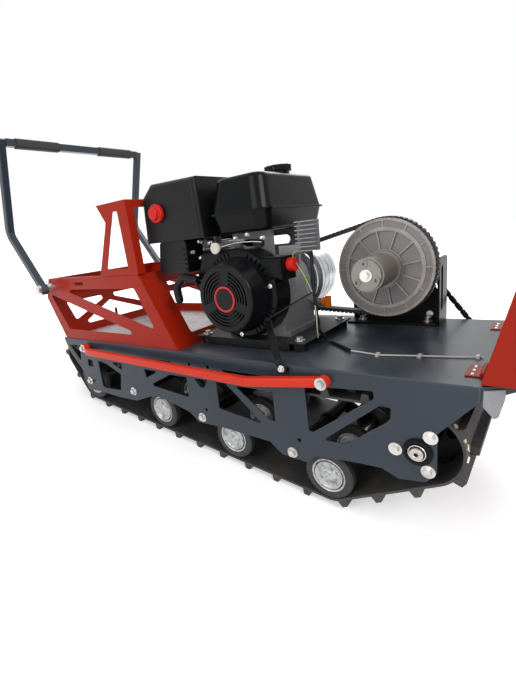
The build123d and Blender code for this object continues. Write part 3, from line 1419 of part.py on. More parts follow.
# Driven pulley: a ribbed cast face with a stepped hub
driven_face = BELT_PLANE - SHEAVE_GAP - SHEAVE
with BuildPart() as driven_pulley:
    rod(DRIVEN_CENTRE, DRIVEN_RADIUS, driven_face, BELT_PLANE - SHEAVE_GAP)
    rod(DRIVEN_CENTRE, BELT_DRIVEN_RADIUS - BELT_SEAT, BELT_PLANE - SHEAVE_GAP, BELT_PLANE + SHEAVE_GAP)
    rod(DRIVEN_CENTRE, DRIVEN_RADIUS, BELT_PLANE + SHEAVE_GAP, BELT_PLANE + SHEAVE_GAP + SHEAVE)
    with BuildSketch(side_plane(driven_face)):
        with Locations(DRIVEN_CENTRE):
            Circle(DRIVEN_RADIUS - RIM_WIDTH)
            Circle(PLATFORM_RADII[1], mode=Mode.SUBTRACT)
            with PolarLocations(0, RIB_COUNT):
                with Locations((DRIVEN_RADIUS / 2, 0)):
                    Rectangle(DRIVEN_RADIUS, RIB_WIDTH, mode=Mode.SUBTRACT)
    extrude(amount=-RIM_POCKET, mode=Mode.SUBTRACT)
    with BuildSketch(side_plane(driven_face)):
        with Locations(DRIVEN_CENTRE):
            Circle(PLATFORM_RADII[0])
            Circle(HUB_RING_RADIUS, mode=Mode.SUBTRACT)
            with PolarLocations(0, RIB_COUNT, RIB_TURN):
                with Locations((DRIVEN_RADIUS / 2, 0)):
                    Rectangle(DRIVEN_RADIUS, RIB_WIDTH, mode=Mode.SUBTRACT)
    extrude(amount=-FACE_POCKET, mode=Mode.SUBTRACT)
    rod(DRIVEN_CENTRE, HUB_RADIUS, HUB_FACE, driven_face)
    rod(DRIVEN_CENTRE, HUB_RADIUS + 7, driven_face - HUB_COLLAR, driven_face)
    rod(DRIVEN_CENTRE, HUB_RADIUS - 5, HUB_FACE - HUB_CAP, HUB_FACE)
    for angle in HUB_BOLT_ANGLES:
        bolt = (
            DRIVEN_CENTRE[0] + HUB_BOLT_CIRCLE * cos(radians(angle)),
            DRIVEN_CENTRE[1] + HUB_BOLT_CIRCLE * sin(radians(angle)),
        )
        rod(bolt, HUB_LUG, HUB_FACE - HUB_CAP - 3, HUB_FACE + 12)
        rod(bolt, HUB_LUG - 4, HUB_FACE - HUB_CAP - 3, HUB_FACE - HUB_CAP + 3, Mode.SUBTRACT)
    sheave_back = BELT_PLANE + SHEAVE_GAP + SHEAVE
    rod(DRIVEN_CENTRE, SHAFT_DIAMETER / 2, HUB_FACE - HUB_CAP, sheave_back, Mode.SUBTRACT)
finish(driven_pulley, "driven_pulley")

# Jackshaft with its end bolt and washer
with BuildPart() as jackshaft:
    rod(DRIVEN_CENTRE, SHAFT_DIAMETER / 2 - WHEEL_CLEARANCE, HUB_FACE - HUB_CAP, CHAIN_PLANE + 10)
    rod(DRIVEN_CENTRE, 16, HUB_FACE - HUB_CAP - 3, HUB_FACE - HUB_CAP)
    with BuildSketch(side_plane(HUB_FACE - HUB_CAP - 3)):
        with Locations(DRIVEN_CENTRE):
            RegularPolygon(BOLT_HEAD / 2, 6)
    extrude(amount=BOLT_HEAD_HEIGHT)
finish(jackshaft, "jackshaft")

belt_guides = ((*CRANK, BELT_DRIVER_RADIUS, 1), (*DRIVEN_CENTRE, BELT_DRIVEN_RADIUS, 1))
cog_stations, belt_length = loop_stations(belt_guides, BELT_COGS)
with BuildPart() as drive_belt:
    ring_band(belt_guides, 0, BELT_THICKNESS, BELT_PLANE - BELT_WIDTH / 2, BELT_PLANE + BELT_WIDTH / 2)
    with BuildSketch(side_plane(BELT_PLANE + BELT_WIDTH / 2)):
        for x, z, heading in cog_stations:
            depth = BELT_THICKNESS - COG_DEPTH / 2 + 1
            with Locations((x + depth * sin(heading), z - depth * cos(heading))):
                Rectangle(COG_WIDTH, COG_DEPTH + 2, rotation=degrees(heading))
    extrude(amount=BELT_WIDTH, mode=Mode.SUBTRACT)
finish(drive_belt, "drive_belt")
print(f"belt length {belt_length:.0f} mm")

# Jackshaft bracket: foot, panel with the bearing, and a slotted end web
bracket_rear = DRIVEN_CENTRE[0] - BRACKET_REAR
bracket_front = DRIVEN_CENTRE[0] + BRACKET_FRONT
with BuildPart() as shaft_bracket:
    block((bracket_rear, bracket_front), (BRACKET_NEAR, BRACKET_PANEL), (0, BRACKET_SHEET))
    with BuildSketch(side_plane(BRACKET_PANEL + BRACKET_SHEET)):
        with Locations(DRIVEN_CENTRE):
            Circle(BRACKET_CROWN)
        with Locations(((bracket_rear + bracket_front) / 2, BRACKET_SHOULDER / 2)):
            Rectangle(bracket_front - bracket_rear, BRACKET_SHOULDER)
        make_hull()
        with Locations(DRIVEN_CENTRE):
            Circle(SHAFT_DIAMETER / 2 + WHEEL_CLEARANCE, mode=Mode.SUBTRACT)
    extrude(amount=BRACKET_SHEET)
    rod(DRIVEN_CENTRE, BRACKET_BEARING, BRACKET_PANEL - BRACKET_HUB, BRACKET_PANEL)
    shaft_bore = SHAFT_DIAMETER / 2 + WHEEL_CLEARANCE
    rod(DRIVEN_CENTRE, shaft_bore, BRACKET_PANEL - BRACKET_HUB, BRACKET_PANEL, Mode.SUBTRACT)
    with BuildSketch(Plane.YZ.offset(bracket_front - BRACKET_SHEET)) as web:
        with Locations(((BRACKET_NEAR + WEB_FAR) / 2, WEB_TOP / 2)):
            Rectangle(WEB_FAR - BRACKET_NEAR, WEB_TOP)
        fillet(web.vertices().group_by(Axis.Z)[-1], WEB_ROUND)
        with Locations(((BRACKET_NEAR + BRACKET_PANEL) / 2, WEB_TOP / 2 + 10)):
            SlotOverall(WEB_SLOT[0], WEB_SLOT[1], rotation=90, mode=Mode.SUBTRACT)
    extrude(amount=BRACKET_SHEET)
    for x in (bracket_rear + BRACKET_BOLT_INSET, bracket_front - BRACKET_BOLT_INSET):
        with Locations((x, BRACKET_NEAR + BRACKET_BOLT_INSET - 4, BRACKET_SHEET)):
            Cylinder(WASHER / 2, WASHER_THICKNESS, align=ON_BASE)
            Cylinder(BOLT_HEAD / 2, WASHER_THICKNESS + 10, align=ON_BASE)
finish(shaft_bracket, "shaft_bracket")

# Chain drive
SPROCKETS = (
    # centre, pitch radius, teeth, bore
    (DRIVEN_CENTRE, UPPER_SPROCKET, UPPER_TEETH, SHAFT_DIAMETER),
    (DRIVE_CENTRE, LOWER_SPROCKET, LOWER_TEETH, AXLE_DIAMETER),
)
with BuildPart() as sprockets:
    for centre, radius, teeth, bore in SPROCKETS:
        with BuildSketch(side_plane(CHAIN_PLANE + SPROCKET_SHEET / 2)):
            with Locations(centre):
                Circle(radius + 4)
                with PolarLocations(radius, teeth):
                    Circle(CHAIN_ROLLER, mode=Mode.SUBTRACT)
                Circle(bore / 2, mode=Mode.SUBTRACT)
        extrude(amount=SPROCKET_SHEET)
finish(sprockets, "sprockets")

chain_guides = ((*DRIVE_CENTRE, LOWER_SPROCKET, 1), (*DRIVEN_CENTRE, UPPER_SPROCKET, 1))
link_stations, chain_length = loop_stations(chain_guides, CHAIN_LINKS)
outer_plate = CHAIN_INNER + CHAIN_PLATE
with BuildPart() as drive_chain:
    for near in (CHAIN_PLANE - outer_plate - CHAIN_PLATE, CHAIN_PLANE + outer_plate):
        with BuildSketch(side_plane(near + CHAIN_PLATE)):
            for i in range(0, CHAIN_LINKS, 2):
                x1, z1, heading = link_stations[i]
                x2, z2, heading = link_stations[(i + 1) % CHAIN_LINKS]
                link_length = hypot(x2 - x1, z2 - z1) + CHAIN_HEIGHT - 4
                link_slope = degrees(atan2(z2 - z1, x2 - x1))
                with Locations(((x1 + x2) / 2, (z1 + z2) / 2)):
                    Rectangle(link_length, CHAIN_HEIGHT, rotation=link_slope)
        extrude(amount=CHAIN_PLATE)
    for near in (CHAIN_PLANE - outer_plate, CHAIN_PLANE + CHAIN_INNER):
        ring_band(chain_guides, -CHAIN_WAIST, CHAIN_WAIST, near, near + CHAIN_PLATE)
    for near in (CHAIN_PLANE - CHAIN_INNER, CHAIN_PLANE + SPROCKET_SHEET / 2 + 0.5):
        ring_band(chain_guides, -1, 1, near, near + CHAIN_INNER - SPROCKET_SHEET / 2 - 0.5)
finish(drive_chain, "drive_chain")
print(f"chain length {chain_length:.0f} mm, link pitch {chain_length / CHAIN_LINKS:.2f} mm")

# Brace from the sub-frame over the deck's edge to the right side plate
with BuildPart() as strut:
    with BuildLine() as brace:
        FilletPolyline(*STRUT_POINTS, radius=12)
    with BuildSketch(Plane(origin=brace.line @ 0, x_dir=(1, 0, 0), z_dir=brace.line % 0)):
        RectangleRounded(STRUT_WIDTH, STRUT_BAR, 3)
    sweep()
    head = STRUT_POINTS[0]
    foot = STRUT_POINTS[-1]
    rod((foot[0], foot[2]), STRUT_FOOT, foot[1] - STRUT_BAR / 2, -HALF_WIDTH)
    rod((head[0], head[2]), STRUT_FOOT, head[1] - STRUT_BAR / 2, BLOWER_FACE)
    add(recoil_cover.part, mode=Mode.SUBTRACT)
finish(strut, "strut")

# Loom from the rectifier to the deck, and the thin lamp lead clipped along the deck
with BuildPart() as wiring:
    for route, radius, bend in ((LOOM_ROUTE, LOOM / 2, 14), (LEAD_ROUTE, LEAD / 2, 30)):
        with BuildLine() as run:
            FilletPolyline(*route, radius=bend)
        with BuildSketch(Plane(origin=run.line @ 0, x_dir=(0, 1, 0), z_dir=run.line % 0)):
            Circle(radius)
        sweep()
    for x, y in LEAD_CLIPS:
        block((x - 4, x + 4), (y - 8, y + 8), (0, LEAD_HEIGHT + LEAD))
finish(wiring, "wiring")

# The finished vehicle stands on its track's lugs, with its middle over the origin
ground_reach = roller_radius + WHEEL_CLEARANCE + TRACK_BELT + LUG_HEIGHT
ground_drop = FIRST_ROLLER[0] * sin(slope) + FIRST_ROLLER[1] * cos(slope) - ground_reach
levelled = Rotation(0, -GROUND_SLOPE, 0)
whole = Compound(children=[levelled * piece for piece in pieces]).bounding_box()
parked = Location((-whole.center().X, -whole.center().Y, -ground_drop)) * levelled

os.makedirs("parts", exist_ok=True)
for piece in pieces:
    placed = parked * piece
    placed.label = piece.label
    export_step(placed, f"parts/{placed.label}.step")
print(f"overall {whole.size.X:.0f} x {whole.size.Y:.0f} x {whole.max.Z - ground_drop:.0f} mm")
print(f"parked shift {-whole.center().X:.4f} {-ground_drop:.4f}")
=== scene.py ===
# %% [markdown]
# # A tracked snow tug, dressed for its picture
# The solids of this tug come from CAD and stay where they are. This lesson gives them their paint,
# rubber, cast alloy and plated steel, adds the small parts that solids would make clumsy, and lights
# the whole in a plain studio. +X is forward and +Z is up. The scene is in metres, and places along
# the deck and outlines of small parts are in millimetres.

# %% Load the frame
import json
import math

import bmesh
import bpy
from mathutils import Matrix, Vector


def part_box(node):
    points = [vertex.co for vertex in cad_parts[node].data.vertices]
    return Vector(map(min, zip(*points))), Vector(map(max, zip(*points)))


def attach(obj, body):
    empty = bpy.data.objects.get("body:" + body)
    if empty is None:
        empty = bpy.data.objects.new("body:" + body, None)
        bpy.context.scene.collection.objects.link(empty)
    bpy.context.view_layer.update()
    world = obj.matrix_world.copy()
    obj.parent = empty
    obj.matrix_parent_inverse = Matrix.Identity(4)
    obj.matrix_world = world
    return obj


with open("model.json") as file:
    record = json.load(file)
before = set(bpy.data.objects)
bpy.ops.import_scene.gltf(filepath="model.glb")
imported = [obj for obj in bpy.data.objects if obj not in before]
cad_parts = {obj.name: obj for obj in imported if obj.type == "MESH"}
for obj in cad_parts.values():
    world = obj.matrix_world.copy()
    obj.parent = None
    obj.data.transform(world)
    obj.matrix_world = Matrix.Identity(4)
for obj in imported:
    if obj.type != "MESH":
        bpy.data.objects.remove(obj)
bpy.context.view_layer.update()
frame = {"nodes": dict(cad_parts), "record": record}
nodes = frame["nodes"]

# %% [markdown]
# The CAD source counts along the deck, which climbs 6.37 degrees when the tug is parked. Places
# that are easy to say along the deck, such as a bolt or a lamp, are turned into the parked frame
# by one small function. The shift comes from a known solid, so it follows the CAD if that moves.

# %% From deck places to the parked frame
DECK_SLOPE = math.radians(6.37)
DECK_TURN = Matrix.Rotation(-DECK_SLOPE, 4, "Y")


def on_deck(x, y, z):
    """A place in millimetres along, across and above the deck, as a point in metres."""
    return deck_origin + DECK_TURN @ Vector((x, y, z)) / 1000


corners = [v.co for v in nodes["deck"].data.vertices]
rear_top = min(corners, key=lambda c: (DECK_TURN.inverted() @ c).x - (DECK_TURN.inverted() @ c).z)
deck_origin = Vector((rear_top.x, 0, rear_top.z))
print("deck rear edge", [round(v, 4) for v in deck_origin])

# %% [markdown]
# The camera stands low at the right front corner and looks back across the deck with a wide lens.
# Its place and its three turns were solved from the straight edges of the deck, so they are plain
# numbers here. The lens is given as a focal length in pixels of a 516 pixel wide picture.

# %% Camera
CAMERA_PLACE = (1592.6, -1033.1, 320.6)
YAW, PITCH, ROLL = (math.radians(angle) for angle in (38.03, -15.64, 6.77))
PICTURE_WIDTH = 516
FOCAL_PIXELS = 396.83

ahead = Vector((-math.sin(YAW) * math.cos(PITCH), math.cos(YAW) * math.cos(PITCH), math.sin(PITCH)))
level_right = Vector((math.cos(YAW), math.sin(YAW), 0))
level_down = ahead.cross(level_right)
right = level_right * math.cos(ROLL) + level_down * math.sin(ROLL)
down = -level_right * math.sin(ROLL) + level_down * math.cos(ROLL)

lens = bpy.data.cameras.new("picture_lens")
lens.sensor_fit = "HORIZONTAL"
lens.sensor_width = 36
lens.lens = FOCAL_PIXELS / PICTURE_WIDTH * lens.sensor_width
lens.clip_start = 0.02
camera = bpy.data.objects.new("picture_camera", lens)
bpy.context.scene.collection.objects.link(camera)
axes = Matrix((right, -down, -ahead)).transposed().to_4x4()
camera.matrix_world = Matrix.Translation(on_deck(*CAMERA_PLACE)) @ DECK_TURN @ axes
bpy.context.scene.camera = camera
print("camera at", [round(v, 3) for v in camera.location], "lens", round(lens.lens, 2), "mm")

# %% [markdown]
# A shader is a small net of nodes. Written node by node it is long and hard to read, so one class
# wraps an output socket and lets it stand in a Python expression: `1 - dust * 0.3` adds the Math
# nodes that say the same. Every other node comes from a single method of the finish.

# %% Shader expressions
class Wire:
    """An output socket that can be added, multiplied and compared like a number."""

    def __init__(self, finish, socket):
        self.finish = finish
        self.socket = socket

    def maths(self, operation, *values):
        inputs = dict(enumerate(values))
        return self.finish.node("ShaderNodeMath", {"operation": operation}, inputs)

    def __add__(self, other):
        return self.maths("ADD", self, other)

    def __radd__(self, other):
        return self.maths("ADD", other, self)

    def __sub__(self, other):
        return self.maths("SUBTRACT", self, other)

    def __rsub__(self, other):
        return self.maths("SUBTRACT", other, self)

    def __mul__(self, other):
        return self.maths("MULTIPLY", self, other)

    def __gt__(self, other):
        return self.maths("GREATER_THAN", self, other)

    def __lt__(self, other):
        return self.maths("LESS_THAN", self, other)

    def ramp(self, low, high):
        """0 below low, 1 above high, and smooth between them."""
        inputs = {"Value": self, "From Min": low, "From Max": high}
        return self.finish.node("ShaderNodeMapRange", {"interpolation_type": "SMOOTHSTEP"}, inputs)


class Finish:
    """A material in the making: its node tree, the place on the object and its surface shader."""

    def __init__(self, name, **surface):
        self.material = bpy.data.materials.new(name)
        self.material.use_nodes = True
        self.tree = self.material.node_tree
        self.surface = self.tree.nodes["Principled BSDF"]
        self.place = self.node("ShaderNodeTexCoord", output="Object")
        self.feed(**surface)

    def node(self, kind, settings=None, inputs=None, output=0):
        """Any node: its kind, its settings, the values or links of its sockets, one output."""
        made = self.tree.nodes.new(kind)
        for key, value in (settings or {}).items():
            setattr(made, key, value)
        for key, value in (inputs or {}).items():
            self.join(value, made.inputs[key])
        return Wire(self, made.outputs[output])

    def join(self, value, socket):
        if isinstance(value, Wire):
            self.tree.links.new(value.socket, socket)
        else:
            socket.default_value = value

    def feed(self, **inputs):
        """Sets or links the surface's own sockets; Base_Color stands for Base Color."""
        for key, value in inputs.items():
            self.join(value, self.surface.inputs[key.replace("_", " ")])

    def noise(self, scale, detail=3.0, roughness=0.5, place=None):
        inputs = {"Vector": place or self.place, "Scale": scale, "Detail": detail, "Roughness": roughness}
        return self.node("ShaderNodeTexNoise", {"noise_dimensions": "3D"}, inputs)

    def mix(self, mask, first, second):
        """Colour that goes from the first to the second where the mask is 1."""
        inputs = {"Factor": mask, 6: first, 7: second}
        return self.node("ShaderNodeMix", {"data_type": "RGBA"}, inputs, output=2)

    def stretched(self, along, across, up):
        """The place on the object, scaled per axis, for grain that runs one way."""
        inputs = {"Vector": self.place, "Scale": (along, across, up)}
        return self.node("ShaderNodeMapping", None, inputs)

    def along(self, axis):
        """The place along one axis, X, Y or Z."""
        return self.node("ShaderNodeSeparateXYZ", None, {"Vector": self.place}, axis)

    def near(self, spot, reach):
        """1 within a distance of a spot and 0 beyond it."""
        spots = {0: self.place, 1: tuple(spot)}
        return self.node("ShaderNodeVectorMath", {"operation": "DISTANCE"}, spots, "Value") < reach

    def fed(self, name):
        """What a socket of the surface is fed with so far: a wire, or else a number."""
        socket = self.surface.inputs[name]
        return Wire(self, socket.links[0].from_socket) if socket.links else socket.default_value

    def repaint(self, mask, colour, rough=0.4, metal=0.0):
        """Another colour and gloss where the mask is 1, over what is there."""
        keep = 1 - mask
        self.feed(
            Base_Color=self.mix(mask, self.fed("Base Color"), colour),
            Roughness=keep * self.fed("Roughness") + mask * rough,
            Metallic=keep * self.fed("Metallic") + mask * metal,
        )
        return self

    def eased(self, radius=0.0014):
        """The normal as if every edge were rounded off by a small radius."""
        return self.node("ShaderNodeBevel", {"samples": 6}, {"Radius": radius}, "Normal")

    def edges(self, radius=0.0014):
        """1 along sharp edges and 0 on the faces between them."""
        flat = self.node("ShaderNodeNewGeometry", output="Normal")
        normals = {0: self.eased(radius), 1: flat}
        agreement = self.node("ShaderNodeVectorMath", {"operation": "DOT_PRODUCT"}, normals, "Value")
        return (1 - agreement).ramp(0.01, 0.12)

    def relief(self, height, depth, strength=1.0, ease=0.0):
        """Bump of a real depth in metres, fed to the surface's normal."""
        inputs = {"Height": height, "Distance": depth, "Strength": strength}
        if ease:
            inputs["Normal"] = self.eased(ease)
        self.feed(Normal=self.node("ShaderNodeBump", None, inputs))


def tint(red, green, blue):
    """Screen colour from 0 to 255 as the linear colour that a shader takes."""
    linear = [((c / 255 + 0.055) / 1.055) ** 2.4 if c > 10 else c / 255 / 12.92 for c in (red, green, blue)]
    return (*linear, 1.0)


# %% [markdown]
# Powder coat is a thick baked film. Close to, it has a soft ripple like orange peel, and in use it
# gathers fine dust on what faces up and dull smears where hands and boots pass. The same recipe
# serves the slate-grey chassis and the red basket, with its own colour, gloss and amount of dust.

# %% Powder coat
def powder_coat(name, colour, dusty, gloss, dust=0.25, coat=0.35, shine=0.5, edge=None):
    """Painted sheet: rippled film, cloudy smears, dust on the level faces, and a lighter colour along the edges
    that is partly worn paint and partly a painted highlight.
    """
    film = Finish(name, Coat_Roughness=0.12, Specular_IOR_Level=shine)
    smear = film.noise(3.5, 5).ramp(0.38, 0.72)
    speck = film.noise(240, 2).ramp(0.58, 0.75)
    normal = film.node("ShaderNodeNewGeometry", output="Normal")
    facing = film.node("ShaderNodeSeparateXYZ", None, {"Vector": normal}, "Z")
    settled = facing.ramp(0.3, 1.0) * (film.noise(11, 6, 0.65).ramp(0.35, 0.8) * 0.7 + speck * 0.3)
    cloudy = film.mix(smear * 0.35, colour, dusty)
    # painted highlight: the edges get the lighter edge colour, or the dusty one, as if light caught them, broken
    # up by noise like worn paint
    cloudy = film.mix(film.edges() * film.noise(60, 4).ramp(0.3, 0.6) * 0.55, cloudy, edge or dusty)
    film.feed(
        Base_Color=film.mix(settled * dust, cloudy, tint(150, 146, 140)),
        Roughness=gloss + smear * 0.10 + settled * 0.18,
        Coat_Weight=coat - settled * coat * 0.6,
    )
    film.relief(film.noise(420, 1) + film.noise(60, 2) * 1.5, 0.00012, 0.35, ease=0.0016)
    return film


# The edge colours given to the paints below are painted highlights along their edges, lighter than the paint
# itself.
SLATE = (tint(46, 54, 64), tint(57, 65, 74))
slate = powder_coat("slate_paint", *SLATE, 0.28, dust=0.16, coat=0.14, shine=0.22, edge=tint(112, 120, 128))
BASKET_RED = (tint(152, 29, 8), tint(160, 42, 20))
RED_EDGE_HIGHLIGHT = tint(196, 74, 48)
red = powder_coat("red_paint", *BASKET_RED, 0.34, dust=0.04, coat=0.05, shine=0.12, edge=RED_EDGE_HIGHLIGHT)
bar_red = powder_coat("bar_red", tint(204, 44, 14), tint(208, 58, 28), 0.25, dust=0.04, coat=0.1, shine=0.2)
black_steel = powder_coat("black_steel", tint(12, 13, 15), tint(22, 23, 25), 0.34, dust=0.08, coat=0.0, shine=0.14)
BLACK = (tint(11, 12, 14), tint(20, 21, 23))
engine_black = powder_coat(
    "engine_black", *BLACK, 0.22, dust=0.04, coat=0.0, shine=0.12, edge=tint(52, 53, 56)
)
print("powder coats ready")

# %% [markdown]
# The track is moulded rubber: matt, finely pitted, and grey with dried dust in its hollows. The
# belt and the tyres of the rollers are the same family, smoother where they run against metal.

# %% Rubber
def rubber(name, colour, dusty, dust, pits):
    """Matt moulded rubber with dust in patches: the finish, its colour and its roughness."""
    skin = Finish(name)
    patch = skin.noise(6, 6, 0.6).ramp(0.4, 0.75)
    fine = skin.noise(180, 3, 0.6)
    colour = skin.mix((patch * 0.6 + fine * 0.4) * dust, colour, dusty)
    rough = 0.62 + patch * 0.2
    skin.feed(Base_Color=colour, Roughness=rough)
    skin.relief(fine + skin.noise(700, 1) * 0.5, pits, 0.6)
    return skin, colour, rough


track_rubber = rubber("track_rubber", tint(30, 30, 31), tint(104, 100, 95), 0.55, 0.0006)[0]
belt_rubber = rubber("belt_rubber", tint(27, 27, 28), tint(70, 69, 68), 0.3, 0.0002)[0]
print("rubbers ready")


# %% [markdown]
# Each wheel is a rubber tyre on a cast hub, all one solid, so one material has to tell the two
# apart. The distance from the wheel's axle does that: inside the hub's radius the surface is metal.
# The three road rollers share a node, so there the nearest of three axles counts.

# %% Tyre and hub in one material
ROLLER_PITCH = 0.315
LATHE_RINGS = 2600  # noise cells per metre of radius, for the fine rings that a lathe leaves
first_axle = on_deck(531, 0, -228)
roller_axles = [first_axle + Vector((ROLLER_PITCH * i, 0, 0)) for i in range(3)]


def axle_distance(finish, axle):
    """Distance of a surface point from an axle that runs along Y."""
    shift = {0: finish.place, 1: (axle.x, 0, axle.z)}
    centred = finish.node("ShaderNodeVectorMath", {"operation": "SUBTRACT"}, shift)
    flat = finish.node("ShaderNodeVectorMath", {"operation": "MULTIPLY"}, {0: centred, 1: (1, 0, 1)})
    return finish.node("ShaderNodeVectorMath", {"operation": "LENGTH"}, {0: flat}, "Value")


def tyre_on_hub(name, axles, hub_radius):
    """Rubber outside the hub's radius and worn cast alloy inside it."""
    wheel, skin_colour, skin_rough = rubber(name, tint(30, 30, 31), tint(92, 89, 86), 0.35, 0.0003)
    radius = axle_distance(wheel, axles[0])
    for axle in axles[1:]:
        radius = radius.maths("MINIMUM", radius, axle_distance(wheel, axle))
    metal = radius < hub_radius
    rings = wheel.noise(1, 2, place=wheel.node("ShaderNodeCombineXYZ", None, {"X": radius * LATHE_RINGS}))
    grime = wheel.noise(45, 5, 0.65).ramp(0.45, 0.8)
    rib = wheel.noise(90, 2).ramp(0.45, 0.6) * (radius > hub_radius * 0.62)
    bright = wheel.mix(rings, tint(158, 160, 160), tint(204, 205, 203))
    alloy = wheel.mix(grime * 0.5 + rib * 0.25, bright, tint(92, 88, 82))
    wheel.feed(
        Base_Color=wheel.mix(metal, skin_colour, alloy),
        Roughness=skin_rough * (1 - metal) + metal * (0.3 + grime * 0.25),
        Metallic=metal * (0.95 - grime * 0.35),
    )
    return wheel


# %% [markdown]
# Bare metal differs by how it was made. Plated bolts are bright and a little cloudy, turned
# pulleys carry rings round their axle, and sand castings are grey and grainy.

# %% Metals
def plated(name, colour, stain, grain):
    """Plated or rolled steel: fine grain along the deck and cloudy stains."""
    steel = Finish(name, Metallic=0.95)
    cloud = steel.noise(26, 5, 0.6).ramp(0.42, 0.78)
    brushed = steel.noise(grain, 2, place=steel.stretched(1, 6, 6))
    steel.feed(
        Base_Color=steel.mix(cloud * 0.6, steel.mix(brushed, colour, tint(225, 223, 218)), stain),
        Roughness=0.26 + cloud * 0.22 + brushed * 0.08,
    )
    steel.relief(brushed, 0.00006, 0.4)
    return steel


def turned(name, axle, colour, bright, stain, rough):
    """Metal turned on a lathe: rings round an axle that runs along Y."""
    disc = Finish(name)
    radius = axle_distance(disc, axle)
    rings = disc.noise(1, 2, place=disc.node("ShaderNodeCombineXYZ", None, {"X": radius * LATHE_RINGS}))
    cloud = disc.noise(20, 6, 0.65).ramp(0.4, 0.75)
    disc.feed(
        Base_Color=disc.mix(cloud * 0.55, disc.mix(rings, colour, bright), stain),
        Roughness=rough + cloud * 0.2 + rings * 0.1,
        Metallic=0.85 - cloud * 0.3,
    )
    disc.relief(rings, 0.00008, 0.5)
    return disc


def cast(name, colour, stain, shine=0.75):
    """Sand-cast alloy: pitted, grey and darker where oil has spread."""
    metal = Finish(name, Metallic=shine)
    oil = metal.noise(9, 5, 0.6).ramp(0.5, 0.8)
    grains = metal.noise(520, 2)
    metal.feed(
        Base_Color=metal.mix(oil * 0.6, metal.mix(grains, colour, tint(150, 150, 152)), stain),
        Roughness=0.5 + oil * 0.15,
    )
    metal.relief(grains + metal.noise(1400, 1) * 0.5, 0.0003, 0.6)
    return metal


zinc = plated("zinc", tint(186, 186, 184), tint(128, 124, 116), 300)
yellow_zinc = plated("yellow_zinc", tint(196, 162, 92), tint(132, 104, 60), 260)
chain_steel = plated("chain_steel", tint(52, 49, 46), tint(28, 26, 24), 260)
floor_sheet = plated("floor_sheet", tint(176, 178, 184), tint(146, 149, 156), 120)
spangle = floor_sheet.node("ShaderNodeTexVoronoi", None, {"Vector": floor_sheet.place, "Scale": 55}, "Color")
flake = floor_sheet.node("ShaderNodeSeparateXYZ", None, {"Vector": spangle})
floor_sheet.feed(
    Base_Color=floor_sheet.mix(flake * 0.4, floor_sheet.fed("Base Color"), tint(214, 216, 220)),
    Roughness=floor_sheet.fed("Roughness") + flake * 0.16,
)
cast_alloy = cast("cast_alloy", tint(84, 85, 88), tint(40, 38, 36), shine=0.5)
pale_zinc = plated("pale_zinc", tint(176, 179, 180), tint(150, 152, 154), 200)
cast_wheel = cast("driven_pulley", tint(118, 110, 105), tint(84, 74, 68), shine=0.3)

# What stands up to the pulley's face is painted lighter as a painted highlight, which leaves the pockets between
# the ribs in painted shade, and is mottled with wear; the hub in front of it is turned
DISC_FACE = 0.075
FACE_REACH = 0.0008
lit_raised_faces = (cast_wheel.along("Y") < DISC_FACE + FACE_REACH) * (cast_wheel.along("Y") > DISC_FACE - FACE_REACH)
worn = cast_wheel.noise(30, 6, 0.7).ramp(0.3, 0.75)
# painted highlight: the raised faces get a lighter colour, then real wear mottle over them
cast_wheel.repaint(lit_raised_faces, tint(162, 156, 150), 0.42, 0.45)
cast_wheel.repaint(lit_raised_faces * worn * 0.6, tint(128, 121, 115), 0.5, 0.3)
cast_wheel.repaint(cast_wheel.along("Y") < DISC_FACE - 0.0012, tint(138, 135, 129), 0.40, 0.5)
print("metals ready")

# %% [markdown]
# The air box, the duct and the lamp are moulded in grained black plastic, and the knobs in red.
# A moulded grain is a tight, even pattern of shallow cells, so a Voronoi texture carries it.

# %% Plastics
def moulded(name, colour, worn, gloss, cells, depth):
    """Moulded plastic with an even cell grain and faint scuffs."""
    shell = Finish(name, Specular_IOR_Level=0.2)
    grain = shell.node(
        "ShaderNodeTexVoronoi", {"feature": "SMOOTH_F1"}, {"Vector": shell.place, "Scale": cells}, "Distance"
    )
    scuff = shell.noise(14, 6, 0.7).ramp(0.5, 0.8)
    shell.feed(Base_Color=shell.mix(scuff * 0.5, colour, worn), Roughness=gloss + scuff * 0.14)
    shell.relief(grain, depth, 0.5)
    return shell


black_plastic = moulded("black_plastic", tint(13, 14, 16), tint(24, 24, 26), 0.34, 900, 0.0002)
red_plastic = moulded("red_plastic", tint(196, 34, 26), tint(206, 70, 56), 0.30, 500, 0.00005)
print("plastics ready")

# %% [markdown]
# Some solids wear two finishes, because small parts of one casting or loom are fused in the CAD. A
# mask on the place picks the second one: a ring round the crank for the red badge rim, a limit
# across the tug for the orange dipstick, and one along it for the pale lamp lead.

# %% Solids with two finishes
CRANK = on_deck(886, 0, 159)
IVORY = tint(206, 202, 186)

RECOIL_BLACK = (tint(11, 12, 14), tint(21, 22, 24))
recoil = powder_coat("recoil_cover", *RECOIL_BLACK, 0.24, dust=0.04, coat=0.0, shine=0.16)
crank_distance = axle_distance(recoil, CRANK)
rim = (crank_distance > 0.0296) * (crank_distance < 0.0354) * (recoil.along("Y") < -0.2505)
recoil.repaint(rim, tint(196, 52, 44), 0.35)

carburettor = cast("carburettor", tint(70, 71, 74), tint(30, 29, 28), shine=0.5)
carburettor.repaint(carburettor.near(on_deck(833, -201, 291), 0.0165), IVORY, 0.45)

knobs = moulded("engine_knobs", tint(198, 34, 26), tint(208, 70, 56), 0.30, 500, 0.00005)
knobs.repaint(knobs.along("Y") > -0.05, tint(226, 118, 26), 0.4)

loom = moulded("wiring", tint(28, 28, 30), tint(60, 60, 62), 0.45, 800, 0.0001)
lead = loom.along("X") > on_deck(1181, 0, 0).x
loom.repaint(lead, tint(198, 196, 190), 0.45)

